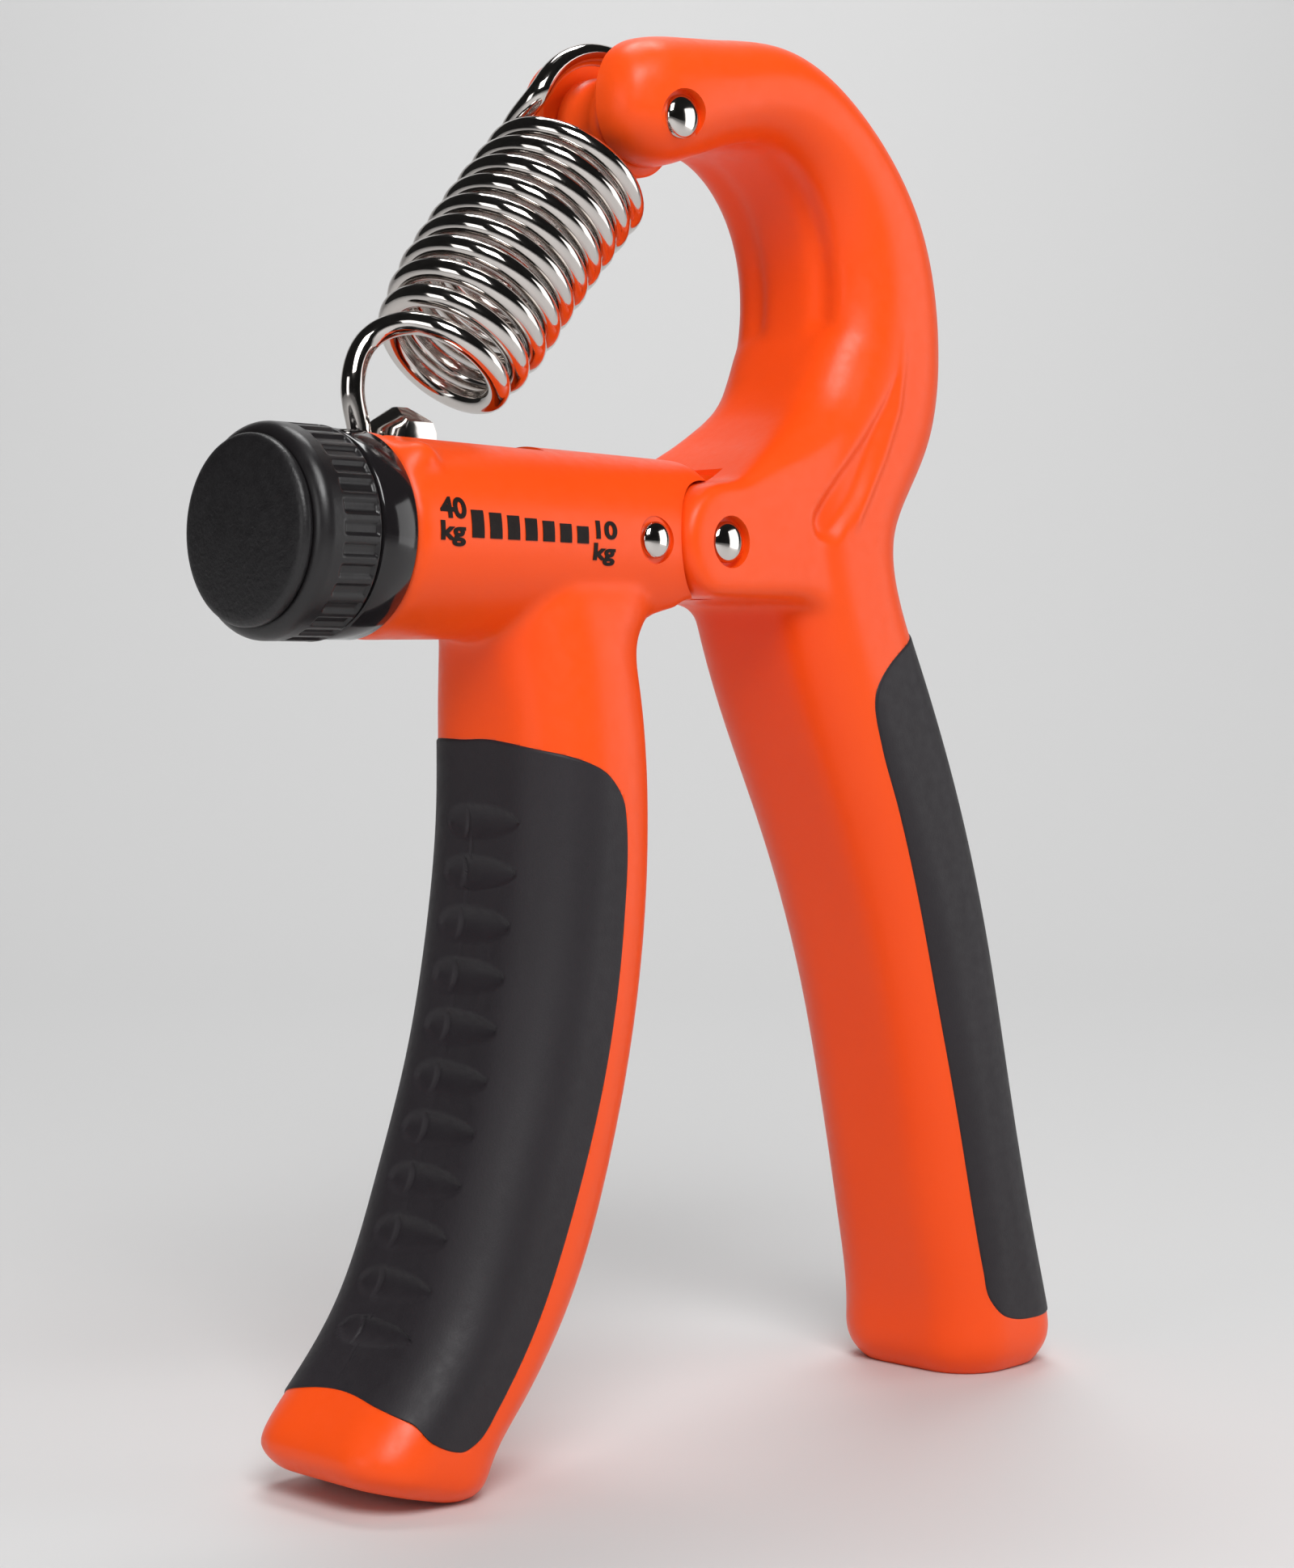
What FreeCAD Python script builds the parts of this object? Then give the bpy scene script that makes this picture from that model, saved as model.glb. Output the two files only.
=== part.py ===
# Hand grip strengthener: two moulded handles joined at a pivot and held apart by an
# extension spring, whose lower eye rides on a screw spindle inside the barrel.
# Millimetres, +Z up. The origin is on the ground, midway between the knob's face and
# the outer side of the lever's foot. Every piece is drawn about the handle pivot, and
# its Placement lifts it to the pivot's place.
import FreeCAD, Part
import math
import os
import re
import Sketcher
from FreeCAD import Placement, Rotation, Vector

os.makedirs("parts", exist_ok=True)
doc = FreeCAD.newDocument("grip_strengthener")

# Driving dimensions, each its own cell and alias
SIZES = {
    # handles
    "pivot_height": 83.8,
    "handle_width": 20.0,
    "foot_outer": 50.85,
    "pad_thickness": 1.8,
    # pivot: ears of the lever, tongue of the barrel handle
    "ear_radius": 5.5,
    "ear_width": 18.8,
    "ear_space": 8.8,
    "ear_gap": 0.4,
    "ear_round": 1.2,
    "ear_floor": 5.2,
    "tongue_width": 7.8,
    "tongue_radius": 5.3,
    "web_gap": 0.6,
    "stop_x": 4.0,
    "stop_gap": 0.05,
    "stop_rise": 6.6,
    "pivot_pin_radius": 1.95,
    "pivot_sleeve_radius": 3.2,
    "pivot_washer_radius": 4.6,
    "washer_thickness": 0.4,
    "running_gap": 0.05,
    # barrel
    "axis_drop": 0.4,
    "barrel_radius": 9.1,
    "barrel_reach": 38.0,
    "barrel_right": 1.0,
    "barrel_lip": 0.8,
    "bore_radius": 6.0,
    "bore_end": 7.6,
    "neck_radius": 7.6,
    "neck_length": 3.7,
    "slot_width": 6.0,
    "slot_land": 1.0,
    "crotch_x": 3.9,
    "crotch_z": 12.3,
    "crotch_radius": 6.0,
    # knob, collar and bearings
    "collar_length": 3.8,
    "thrust_thickness": 0.35,
    "thrust_radius": 6.8,
    "knob_radius": 9.3,
    "knob_length": 6.5,
    "knob_rim": 1.3,
    "knob_chamfer": 0.7,
    "knob_hollow": 3.2,
    "knob_hollow_radius": 7.2,
    "flute_radius": 0.55,
    "flute_depth": 0.27,
    "flutes": 32,
    "cap_radius": 8.2,
    "cap_thickness": 1.5,
    "cap_crown": 0.35,
    "cap_spigot": 0.9,
    "cap_overlap": 0.6,
    "knob_nut_radius": 4.9,
    "knob_nut_thickness": 2.0,
    "clip_thickness": 0.8,
    "clip_radius": 4.6,
    "clip_groove": 2.4,
    "clip_play": 0.1,
    "spindle_radius": 3.0,
    "tail_radius": 2.0,
    "tail_length": 2.6,
    "tail_shoulder": 0.6,
    "tail_bearing_length": 6.2,
    "barrel_pin_x": 9.1,
    "barrel_pin_z": 0.3,
    "barrel_pin_radius": 1.7,
    # travelling nut
    "nut_thickness": 3.6,
    "nut_ridge": 11.6,
    "nut_slack": 0.15,
    "nut_play": 0.3,
    "nut_travel": 12.5,
    "nut_end_gap": 0.6,
    # spring pin in the fork at the arch's tip
    "pin_x": 6.05,
    "pin_z": 38.9,
    "spring_pin_radius": 2.0,
    "fork_width": 19.0,
    "fork_space": 7.0,
    "fork_depth": 2.6,
    "fork_tilt": 2.0,
    "bush_length": 6.0,
    "bush_flange": 0.3,
    "bush_groove": 2.6,
    "fork_washer_radius": 3.6,
    # domed pin ends in round recesses
    "recess_margin": 0.5,
    "recess_depth": 0.9,
    "dome_rise": 1.1,
    # spring
    "wire_radius": 1.0,
    "coil_radius": 6.85,
    "coil_narrow": 1.4,
    "coil_bow": 0.55,
    "coil_turns": 10,
    "coil_pitch": 2.62,
    "coil_angle": 49.5,
    "coil_x": 28.1,
    "coil_z": 14.8,
    "hook_radius": 8.8,
    "hook_drop": 2.9,
    "hook_gap": 0.1,
    "eye_gap": 0.25,
    "eye_play": 0.4,
}
sheet = doc.addObject("Spreadsheet::Sheet", "Sizes")
for row, (name, value) in enumerate(SIZES.items(), 1):
    sheet.set(f"A{row}", name)
    sheet.set(f"B{row}", str(value))
    sheet.setAlias(f"B{row}", name)
doc.recompute()


def size(name):
    return float(sheet.get(name))


# Places that follow from the sizes, along +X from the pivot unless named otherwise
PLACES = {
    "collar_left": "-barrel_reach - collar_length",
    "knob_right": "collar_left - thrust_thickness",
    "knob_left": "knob_right - knob_length",
    "cap_left": "knob_left - cap_thickness",
    "slot_left": "-barrel_reach + slot_land",
    "eye_x": "slot_left + eye_play + wire_radius",
    "nut_left": "eye_x + wire_radius + nut_play",
    "slot_right": "nut_left + nut_thickness + nut_travel + nut_end_gap",
    "tail_bearing_left": "-bore_end - tail_bearing_length",
    "tail_left": "tail_bearing_left - tail_shoulder",
    "spindle_left": "knob_left + knob_hollow - knob_nut_thickness",
    "clip_left": "-barrel_reach + clip_play / 2",
    "bush_core_radius": "hook_radius - hook_drop - wire_radius - hook_gap",
    "pivot_x": "-(cap_left + foot_outer) / 2",
}
WORD = re.compile(r"[a-z_]+")
places = doc.addObject("Spreadsheet::Sheet", "Places")
for row, (name, text) in enumerate(PLACES.items(), 1):
    text = WORD.sub(lambda w: f"Sizes.{w[0]}" if w[0] in SIZES else w[0], text)
    places.set(f"A{row}", name)
    places.set(f"B{row}", "=" + text)
    places.setAlias(f"B{row}", name)
doc.recompute()


def at(name):
    return float(places.get(name))


def formula(text):
    """A formula for setExpression, with the sheet that holds each name put before it."""

    def held(word):
        sheets = [s for s, names in (("Sizes", SIZES), ("Places", PLACES)) if word[0] in names]
        return f"{sheets[0]}.{word[0]}" if sheets else word[0]

    return WORD.sub(held, text)


def bind(item, **formulas):
    """Tie an object's properties to formulas. A double underscore stands for a dot."""
    for prop, text in formulas.items():
        item.setExpression(prop.replace("__", "."), formula(text))
    return item


# Building blocks
def rod_x(name, start, length, radius):
    """A cylinder along the barrel's axis, which lies a little below the pivot."""
    rod = doc.addObject("Part::Cylinder", name)
    rod.Placement = Placement(Vector(), Rotation(Vector(0, 1, 0), 90))
    return bind(
        rod,
        Radius=radius,
        Height=length,
        Placement__Base__x=start,
        Placement__Base__z="-axis_drop",
    )


def rod_y(name, x, z, start, length, radius):
    """A cylinder across the handles, from start towards the back."""
    rod = doc.addObject("Part::Cylinder", name)
    rod.Placement = Placement(Vector(), Rotation(Vector(1, 0, 0), -90))
    return bind(
        rod,
        Radius=radius,
        Height=length,
        Placement__Base__x=x,
        Placement__Base__y=start,
        Placement__Base__z=z,
    )


def box(name, x, y, z, length, width, height):
    """A box by its lowest corner and its three lengths."""
    block = doc.addObject("Part::Box", name)
    return bind(
        block,
        Length=length,
        Width=width,
        Height=height,
        Placement__Base__x=x,
        Placement__Base__y=y,
        Placement__Base__z=z,
    )


def fuse(name, *shapes):
    whole = doc.addObject("Part::MultiFuse", name)
    whole.Shapes = list(shapes)
    return whole


def cut(name, base, *tools):
    rest = doc.addObject("Part::Cut", name)
    rest.Base = base
    rest.Tool = tools[0] if len(tools) == 1 else fuse(name + "Tools", *tools)
    return rest


def common(name, base, tool):
    shared = doc.addObject("Part::Common", name)
    shared.Base = base
    shared.Tool = tool
    return shared


def solid(name, shape):
    """A form that only its own section curves or path can give."""
    form = doc.addObject("Part::Feature", name)
    form.Shape = shape
    return form


PIECES = []


def piece(item, label, rise="pivot_height"):
    """Label a finished piece and lift it from the pivot's frame to the ground's."""
    item.Label = label
    bind(item, Placement__Base__x="pivot_x", Placement__Base__z=rise)
    PIECES.append(item)
    return item


def pin(name, x, z, width, radius):
    """A rivet pin with a domed end in each face of a part that is width thick."""
    start = f"-({width}) / 2 + recess_depth - dome_rise"
    length = f"{width} - 2 * recess_depth + 2 * dome_rise"
    rod = rod_y(name + "Rod", x, z, start, length, radius)
    doc.recompute()
    domed = doc.addObject("Part::Fillet", name)
    domed.Base = rod
    rims = [n for n, e in enumerate(rod.Shape.Edges, 1) if e.Closed]
    domed.Edges = [(n, size("dome_rise"), size("dome_rise")) for n in rims]
    return domed


def pin_hole(name, x, z, width, radius):
    """The hole of a pin and the round recess round each of its ends."""
    hole = rod_y(name + "Bore", x, z, f"-({width}) / 2", width, radius)
    rim, depth = f"{radius} + recess_margin", "2 * recess_depth"
    front = rod_y(name + "Front", x, z, f"-({width}) / 2 - recess_depth", depth, rim)
    back = rod_y(name + "Back", x, z, f"({width}) / 2 - recess_depth", depth, rim)
    return fuse(name, hole, front, back)


# Moulded forms, lofted through rounded sections
def section(x, z, lean, depth, width, corner):
    """A rounded rectangle about (x, z). Its depth lies at lean degrees from +X."""
    along = Vector(math.cos(math.radians(lean)), 0, math.sin(math.radians(lean)))
    across = Vector(0, 1, 0)
    centre = Vector(x, 0, z)

    def corner_at(a, b):
        return centre + along * a + across * b

    a, b, slant = depth / 2, width / 2, math.sqrt(0.5)
    edges = []
    for i in range(4):
        turn = [(1, 1), (-1, 1), (-1, -1), (1, -1)]
        (sa, sb), (na, nb) = turn[i], turn[(i + 1) % 4]
        hub = (sa * (a - corner), sb * (b - corner))
        first = (sa * a, hub[1]) if sa == sb else (hub[0], sb * b)
        last = (hub[0], sb * b) if sa == sb else (sa * a, hub[1])
        middle = (hub[0] + sa * corner * slant, hub[1] + sb * corner * slant)
        edges.append(Part.Arc(corner_at(*first), corner_at(*middle), corner_at(*last)).toShape())
        following = (na * (a - corner), nb * b) if na != nb else (na * a, nb * (b - corner))
        edges.append(Part.LineSegment(corner_at(*last), corner_at(*following)).toShape())
    return Part.Wire(edges)


def moulding(sections, inset=0.0):
    """One smooth solid through sections, drawn in all round by inset."""
    wires = [
        section(x, z, lean, depth - 2 * inset, width - 2 * inset, max(corner - inset, 0.6))
        for x, z, lean, depth, width, corner in sections
    ]
    return Part.makeLoft(wires, True, False)


def prism(points, width):
    """A slab through the handles, from a smooth closed outline in the XZ plane."""
    outline = Part.BSplineCurve()
    outline.interpolate([Vector(x, -width / 2, z) for x, z in points], PeriodicFlag=True)
    face = Part.Face(Part.Wire(outline.toShape()))
    return face.extrude(Vector(0, width, 0))


drop = size("pivot_height") / 83.8
wide = size("handle_width")
# Sections of the barrel handle from the barrel down: centre x, z, lean, depth, width, corner
HANDLE = [
    (-15.2, -1.7, 0, 17.0, wide - 4.0, 4.0),
    (-14.9, -5.6, 0, 20.4, wide - 2.6, 5.6),
    (-15.8, -8.6, 0, 17.0, wide - 1.0, 6.2),
    (-15.9, -13.0, 0, 15.0, wide - 0.2, 6.4),
    (-15.4, -24.8, 0, 15.0, wide, 6.4),
    (-16.3, -36.0, 0, 15.7, wide, 6.4),
    (-18.4, -47.0, 0, 16.2, wide, 6.4),
    (-21.8, -58.0, 0, 16.8, wide, 6.4),
    (-26.3, -68.4, 0, 16.9, wide, 6.4),
    (-32.3, -76.3, -7, 16.3, wide, 6.2),
    (-35.3, -80.2, -12, 15.6, wide, 5.8),
    (-36.0, -82.2, -15, 13.8, wide - 1.6, 5.2),
    (-36.2, -83.0, -15, 11.4, wide - 4.0, 4.6),
]
HANDLE = [(x, z * drop, *rest) for x, z, *rest in HANDLE]
# Sections of the lever from the fork's nose round the arch and down to the foot
tip_x, tip_z = -size("pin_x"), size("pin_z") + size("fork_tilt")
foot, fork = size("foot_outer") - 50.85, size("fork_width")
LEVER = [
    (tip_x - 5.9, tip_z - 0.3, 90, 2.8, fork - 8.4, 1.2),
    (tip_x - 5.3, tip_z - 0.3, 90, 6.0, fork - 5.4, 2.5),
    (tip_x - 4.0, tip_z - 0.2, 90, 9.2, fork - 2.8, 3.9),
    (tip_x - 1.9, tip_z - 0.1, 90, 11.3, fork - 0.8, 4.8),
    (tip_x, tip_z, 88, 12.1, fork, 5.3),
    (1.0, 42.2, 83, 11.1, wide - 0.6, 5.2),
    (9.4, 43.3, 74, 9.7, wide - 0.4, 4.5),
    (17.6, 39.6, 42, 10.2, wide - 0.4, 4.8),
    (23.9, 31.5, 12, 13.6, wide - 0.2, 6.0),
    (25.5, 22.0, -3, 15.8, wide, 6.4),
    (23.3, 12.6, -14, 17.5, wide, 6.4),
    (18.2, 3.2, -12, 16.8, wide, 6.0),
    (19.3, -5.5, 3, 16.0, wide, 6.0),
    (22.4, -13.0, 13, 16.3, wide, 6.2),
    (28.0, -25.0, 16, 16.0, wide, 6.4),
    (33.8, -41.0, 12, 15.0, wide, 6.4),
    (37.3 + foot * 0.5, -55.0, 9, 14.7, wide, 6.4),
    (40.8 + foot * 0.8, -70.0, 6, 15.4, wide, 6.4),
    (42.6 + foot, -78.6, 3, 16.4, wide, 6.0),
    (42.9 + foot, -82.0, 2, 16.0, wide - 0.8, 5.8),
    (43.0 + foot, -83.9, 1, 13.4, wide - 3.4, 5.0),
]
LEVER = [(x, z * drop if z < 0 else z, *rest) for x, z, *rest in LEVER]

ground = box(
    "Ground",
    "-2 * foot_outer",
    "-handle_width",
    "-2 * pivot_height",
    "4 * foot_outer",
    "2 * handle_width",
    "pivot_height",
)
pad_inset = size("pad_thickness")

# Finger pad: rubber over the outer side of the barrel handle
FINGER_PAD_EDGE = [
    (-36.0, -15.6),
    (-22.4, -18.4),
    (-16.4, -21.0),
    (-13.7, -24.6),
    (-14.6, -35.0),
    (-16.4, -46.0),
    (-23.2, -65.3),
    (-30.4, -76.6),
    (-34.2, -79.0),
    (-38.2, -76.2),
    (-44.0, -72.6),
    (-56.0, -45.0),
]
finger_prism = solid("FingerPrism", prism([(x, z * drop) for x, z in FINGER_PAD_EDGE], 2 * wide))
handle_outer = solid("HandleOuter", moulding(HANDLE))
handle_core = solid("HandleCore", moulding(HANDLE, pad_inset))
finger_zone = common("FingerZone", handle_outer, finger_prism)
finger_pad = piece(cut("FingerPad", finger_zone, handle_core), "finger_pad")
handle_grip = cut("HandleGrip", handle_outer, cut("FingerRecess", finger_zone, handle_core), ground)

# Palm pad: rubber over the outer side of the lever
PALM_PAD_EDGE = [
    (26.5, -8.6),
    (20.8, -12.0),
    (19.5, -15.6),
    (23.7, -25.5),
    (29.3, -41.7),
    (37.2, -73.0),
    (39.6, -77.4),
    (44.0, -78.6),
    (56.0, -78.0),
    (60.0, -40.0),
    (44.0, -6.0),
    (33.0, -5.0),
]
palm_prism = solid("PalmPrism", prism([(x, z * drop) for x, z in PALM_PAD_EDGE], 2 * wide))
lever_outer = solid("LeverOuter", moulding(LEVER))
lever_core = solid("LeverCore", moulding(LEVER, pad_inset))
palm_zone = common("PalmZone", lever_outer, palm_prism)
palm_pad = piece(cut("PalmPad", palm_zone, lever_core), "palm_pad")

# Barrel handle: barrel and grip in one moulding, with a tongue into the lever's ears
barrel = rod_x("Barrel", "-barrel_reach", "barrel_reach + barrel_right", "barrel_radius")
barrel_round = doc.addObject("Part::Fillet", "BarrelRound")
barrel_round.Base = barrel
doc.recompute()
lip_edge = [
    n
    for n, e in enumerate(barrel.Shape.Edges, 1)
    if e.Closed and abs(e.CenterOfMass.x + size("barrel_reach")) < 0.01
][0]
barrel_round.Edges = [(lip_edge, size("barrel_lip"), size("barrel_lip"))]
neck = rod_x("Neck", "-barrel_reach - neck_length", "neck_length + barrel_lip * 2", "neck_radius")
casting = fuse("Casting", barrel_round, neck, handle_grip)
ear_recess = rod_y("EarRecess", "0", "0", "-handle_width", "2 * handle_width", "ear_radius + ear_gap")
crotch = box(
    "Crotch",
    "-crotch_x",
    "-handle_width",
    "-4 * ear_radius",
    "4 * ear_radius",
    "2 * handle_width",
    "4 * ear_radius - ear_floor - ear_gap / 2",
)
crotch_arch = rod_y(
    "CrotchArch", "-crotch_x", "-crotch_z", "-handle_width", "2 * handle_width", "crotch_radius"
)
shouldered = cut("Shouldered", casting, ear_recess, crotch, crotch_arch)
tongue_disc = rod_y("TongueDisc", "0", "0", "-tongue_width / 2", "tongue_width", "tongue_radius")
tongue_root = box(
    "TongueRoot",
    "-ear_radius - 2 * ear_gap",
    "-tongue_width / 2",
    "-ear_floor",
    "ear_radius + 2 * ear_gap",
    "tongue_width",
    "ear_floor + stop_rise",
)
tongue_stop = box(
    "TongueStop",
    "-running_gap",
    "-tongue_width / 2",
    "0",
    "stop_x - stop_gap + running_gap",
    "tongue_width",
    "stop_rise",
)
tongued = fuse("Tongued", shouldered, tongue_disc, tongue_root, tongue_stop)
bore = rod_x("Bore", "collar_left - 1", "-collar_left + 1 - bore_end", "bore_radius")
slot = box(
    "Slot",
    "slot_left",
    "-slot_width / 2",
    "0",
    "slot_right - slot_left",
    "slot_width",
    "2 * barrel_radius",
)
sleeve_hole = rod_y("SleeveHole", "0", "0", "-tongue_width", "2 * tongue_width", "pivot_sleeve_radius")
tail_pin = ("-barrel_pin_x", "barrel_pin_z - axis_drop", "2 * barrel_radius", "barrel_pin_radius")
barrel_pin_hole = pin_hole("BarrelPinHole", *tail_pin)
barrel_handle = piece(
    cut("BarrelHandle", tongued, bore, slot, sleeve_hole, barrel_pin_hole), "barrel_handle_body"
)

# Collar over the barrel's neck, and the bearings that carry the spindle
collar_blank = rod_x("CollarBlank", "collar_left", "collar_length", "barrel_radius")
collar_hole = rod_x("CollarHole", "collar_left - 1", "collar_length + 2", "neck_radius")
collar = piece(cut("Collar", collar_blank, collar_hole), "barrel_collar")

head_blank = rod_x("HeadBlank", "collar_left", "collar_length - clip_play / 2", "bore_radius")
head_hole = rod_x("HeadHole", "collar_left - 1", "collar_length + 2", "spindle_radius + running_gap")
piece(cut("HeadBearing", head_blank, head_hole), "head_bearing")

tail_blank = rod_x("TailBlank", "tail_bearing_left", "tail_bearing_length", "bore_radius")
tail_depth, tail_bore = "tail_length + 1 + running_gap", "tail_radius + running_gap"
tail_hole = rod_x("TailHole", "tail_bearing_left - 1", tail_depth, tail_bore)
tail_pin_hole = rod_y("TailPinHole", *tail_pin[:2], "-barrel_radius", *tail_pin[2:])
piece(cut("TailBearing", tail_blank, tail_hole, tail_pin_hole), "tail_bearing")

piece(pin("BarrelPin", *tail_pin), "barrel_pin")

sleeve_size = ("-tongue_width / 2", "tongue_width", "pivot_sleeve_radius")
sleeve_blank = rod_y("SleeveBlank", "0", "0", *sleeve_size)
sleeve_gap = ("-tongue_width", "2 * tongue_width", "pivot_pin_radius + running_gap")
sleeve_bore = rod_y("SleeveBore", "0", "0", *sleeve_gap)
piece(cut("PivotSleeve", sleeve_blank, sleeve_bore), "pivot_sleeve")

# Lever: ears, arch, fork and grip in one moulding
ear_radius, ear_floor, ear_width = size("ear_radius"), size("ear_floor"), size("ear_width")
ear_heel = Vector(-math.sqrt(ear_radius**2 - ear_floor**2), 0, -ear_floor)
ear_top = Vector(0, 0, ear_radius)
ear_sole = Vector(9.4, 0, -ear_floor)
ear_foot = Vector(16.6, 0, -11.4)
ear_crest = Vector(18.6, 0, 22.0)
ear_under = Part.BSplineCurve()
ear_under.interpolate([ear_sole, Vector(13.2, 0, -ear_floor - 1.5), ear_foot])
EAR_OVER = [(15.6, 16.6), (12.8, 12.9), (9.4, 10.3), (5.6, 8.0), (2.4, 6.4)]
ear_over = Part.BSplineCurve()
ear_over.interpolate(
    [ear_crest, *(Vector(x, 0, z) for x, z in EAR_OVER), ear_top],
    FinalTangent=Vector(-1, 0, 0),
    InitialTangent=Vector(-0.6, 0, -1),
)
ear_edges = [
    Part.Arc(ear_top, Vector(-ear_radius, 0, 0), ear_heel).toShape(),
    Part.LineSegment(ear_heel, ear_sole).toShape(),
    ear_under.toShape(),
    Part.LineSegment(ear_foot, ear_crest).toShape(),
    ear_over.toShape(),
]
ear_face = Part.Face(Part.Wire(ear_edges))
ear_face.translate(Vector(0, -ear_width / 2, 0))
ear_slab = ear_face.extrude(Vector(0, ear_width, 0))
outer_edges = [e for e in ear_slab.Edges if e.BoundBox.YLength < 0.01]
ears = solid("Ears", ear_slab.makeFillet(size("ear_round"), outer_edges))
lever_grip = cut("LeverGrip", lever_outer, cut("PalmRecess", palm_zone, lever_core), ground)
ear_slot_disc = rod_y(
    "EarSlotDisc", "0", "0", "-ear_space / 2", "ear_space", "tongue_radius + web_gap"
)
ear_slot_top = box(
    "EarSlotTop",
    "-2 * ear_radius",
    "-ear_space / 2",
    "0",
    "2 * ear_radius + stop_x",
    "ear_space",
    "2 * ear_radius",
)
ear_slot_left = box(
    "EarSlotLeft",
    "-2 * ear_radius",
    "-ear_space / 2",
    "-2 * ear_radius",
    "2 * ear_radius",
    "ear_space",
    "2 * ear_radius",
)
fork_slot = box(
    "ForkSlot",
    "-pin_x - 3 * hook_radius",
    "-fork_space / 2",
    "pin_z - 3 * hook_radius",
    "3 * hook_radius + pin_x + fork_depth",
    "fork_space",
    "6 * hook_radius",
)
pivot = ("0", "0", "ear_width", "pivot_pin_radius")
fork_pin = ("-pin_x", "pin_z", "fork_width", "spring_pin_radius")
lever_cuts = [
    ear_slot_disc,
    ear_slot_top,
    ear_slot_left,
    fork_slot,
    pin_hole("PivotPinHole", *pivot),
    pin_hole("SpringPinHole", *fork_pin),
]
piece(cut("Lever", fuse("LeverBlank", lever_grip, ears), *lever_cuts), "lever_body")
piece(pin("PivotPin", *pivot), "pivot_pin")
piece(pin("SpringPin", *fork_pin), "spring_pin")


def washers(name, x, z, inner, radius, pin_radius):
    """Two thin washers on a pin, the inner face of each at inner from the middle."""
    sides = []
    for side, start in (("Front", f"-({inner}) - washer_thickness"), ("Back", inner)):
        blank = rod_y(name + side, x, z, start, "washer_thickness", radius)
        through = (f"{start} - washer_thickness", "3 * washer_thickness", pin_radius)
        sides.append(cut(name + side + "Ring", blank, rod_y(name + side + "Bore", x, z, *through)))
    return fuse(name, *sides)


pivot_inner, fork_inner = "tongue_width / 2 + running_gap", "bush_length / 2 + running_gap"
pivot_rings = ("0", "0", pivot_inner, "pivot_washer_radius", "pivot_pin_radius")
fork_rings = ("-pin_x", "pin_z", fork_inner, "fork_washer_radius", "spring_pin_radius")
piece(washers("PivotWashers", *pivot_rings), "pivot_washers")
piece(washers("ForkWashers", *fork_rings), "fork_washers")

# Knob: fluted ring, turned about the barrel's axis and fixed to the spindle
knob = doc.addObject("PartDesign::Body", "Knob")
yz_plane = [f for f in knob.Origin.OriginFeatures if f.Role == "YZ_Plane"][0]


def circle_sketch(name, radius, start, out=None):
    """A circle across the knob's axis at start, its centre raised by out."""
    sketch = knob.newObject("Sketcher::SketchObject", name)
    sketch.AttachmentSupport = [(yz_plane, "")]
    sketch.MapMode = "FlatFace"
    sketch.addGeometry(Part.Circle(Vector(0, 1, 0), Vector(0, 0, 1), 1))
    sketch.addConstraint(Sketcher.Constraint("Radius", 0, 1))
    sketch.setExpression("Constraints[0]", formula(radius))
    if out is None:
        sketch.addConstraint(Sketcher.Constraint("Coincident", 0, 3, -1, 1))
    else:
        sketch.addConstraint(Sketcher.Constraint("PointOnObject", 0, 3, -2))
        sketch.addConstraint(Sketcher.Constraint("DistanceY", -1, 1, 0, 3, 1))
        sketch.setExpression("Constraints[2]", formula(out))
    sketch.setExpression("AttachmentOffset.Base.z", formula(start))
    return sketch


ring_pad = knob.newObject("PartDesign::Pad", "KnobRing")
ring_pad.Profile = circle_sketch("KnobCircle", "knob_radius", "knob_left")
bind(ring_pad, Length="knob_length")
hollow = knob.newObject("PartDesign::Pocket", "KnobHollow")
hollow.Profile = circle_sketch("HollowCircle", "knob_hollow_radius", "knob_left")
hollow.Reversed = True
bind(hollow, Length="knob_hollow")
hub_hole = knob.newObject("PartDesign::Pocket", "KnobHubHole")
hub_hole.Profile = circle_sketch("HubCircle", "spindle_radius", "knob_left")
hub_hole.Reversed = True
bind(hub_hole, Length="knob_length")
doc.recompute()
rim = doc.addObject("PartDesign::Chamfer", "KnobRim")
knob.addObject(rim)
rim_edges = [
    f"Edge{n}"
    for n, e in enumerate(hub_hole.Shape.Edges, 1)
    if e.Closed and abs(e.BoundBox.YLength - 2 * size("knob_radius")) < 0.01
]
rim.Base = (hub_hole, rim_edges)
bind(rim, Size="knob_chamfer")
flute = knob.newObject("PartDesign::Pocket", "KnobFlute")
flute.Profile = circle_sketch(
    "FluteCircle", "flute_radius", "knob_left + knob_rim", "knob_radius + flute_radius - flute_depth"
)
flute.Reversed = True
bind(flute, Length="knob_length")
doc.recompute()
flute_pattern = knob.newObject("PartDesign::PolarPattern", "KnobFlutes")
flute_pattern.Originals = [flute]
flute_pattern.Axis = (flute.Profile[0], ["N_Axis"])
flute_pattern.Angle = 360
bind(flute_pattern, Occurrences="flutes")
knob.Tip = flute_pattern
piece(knob, "knob_body", "pivot_height - axis_drop")

# Knob cap: crowned disc with a spigot that snaps into the knob
cap_disc = rod_x("CapDisc", "cap_left - cap_thickness", "2 * cap_thickness", "cap_radius")
crown_radius = "((cap_radius * cap_radius + cap_crown * cap_crown) / (2 * cap_crown))"
cap_ball = doc.addObject("Part::Sphere", "CapBall")
bind(
    cap_ball,
    Radius=crown_radius,
    Placement__Base__x=f"cap_left + {crown_radius}",
    Placement__Base__z="-axis_drop",
)
cap_face = common("CapFace", cap_disc, cap_ball)
cap_plug = rod_x("CapPlug", "knob_left - cap_overlap", "cap_spigot + cap_overlap", "knob_hollow_radius")
piece(fuse("KnobCap", cap_face, cap_plug), "knob_cap")

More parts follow.
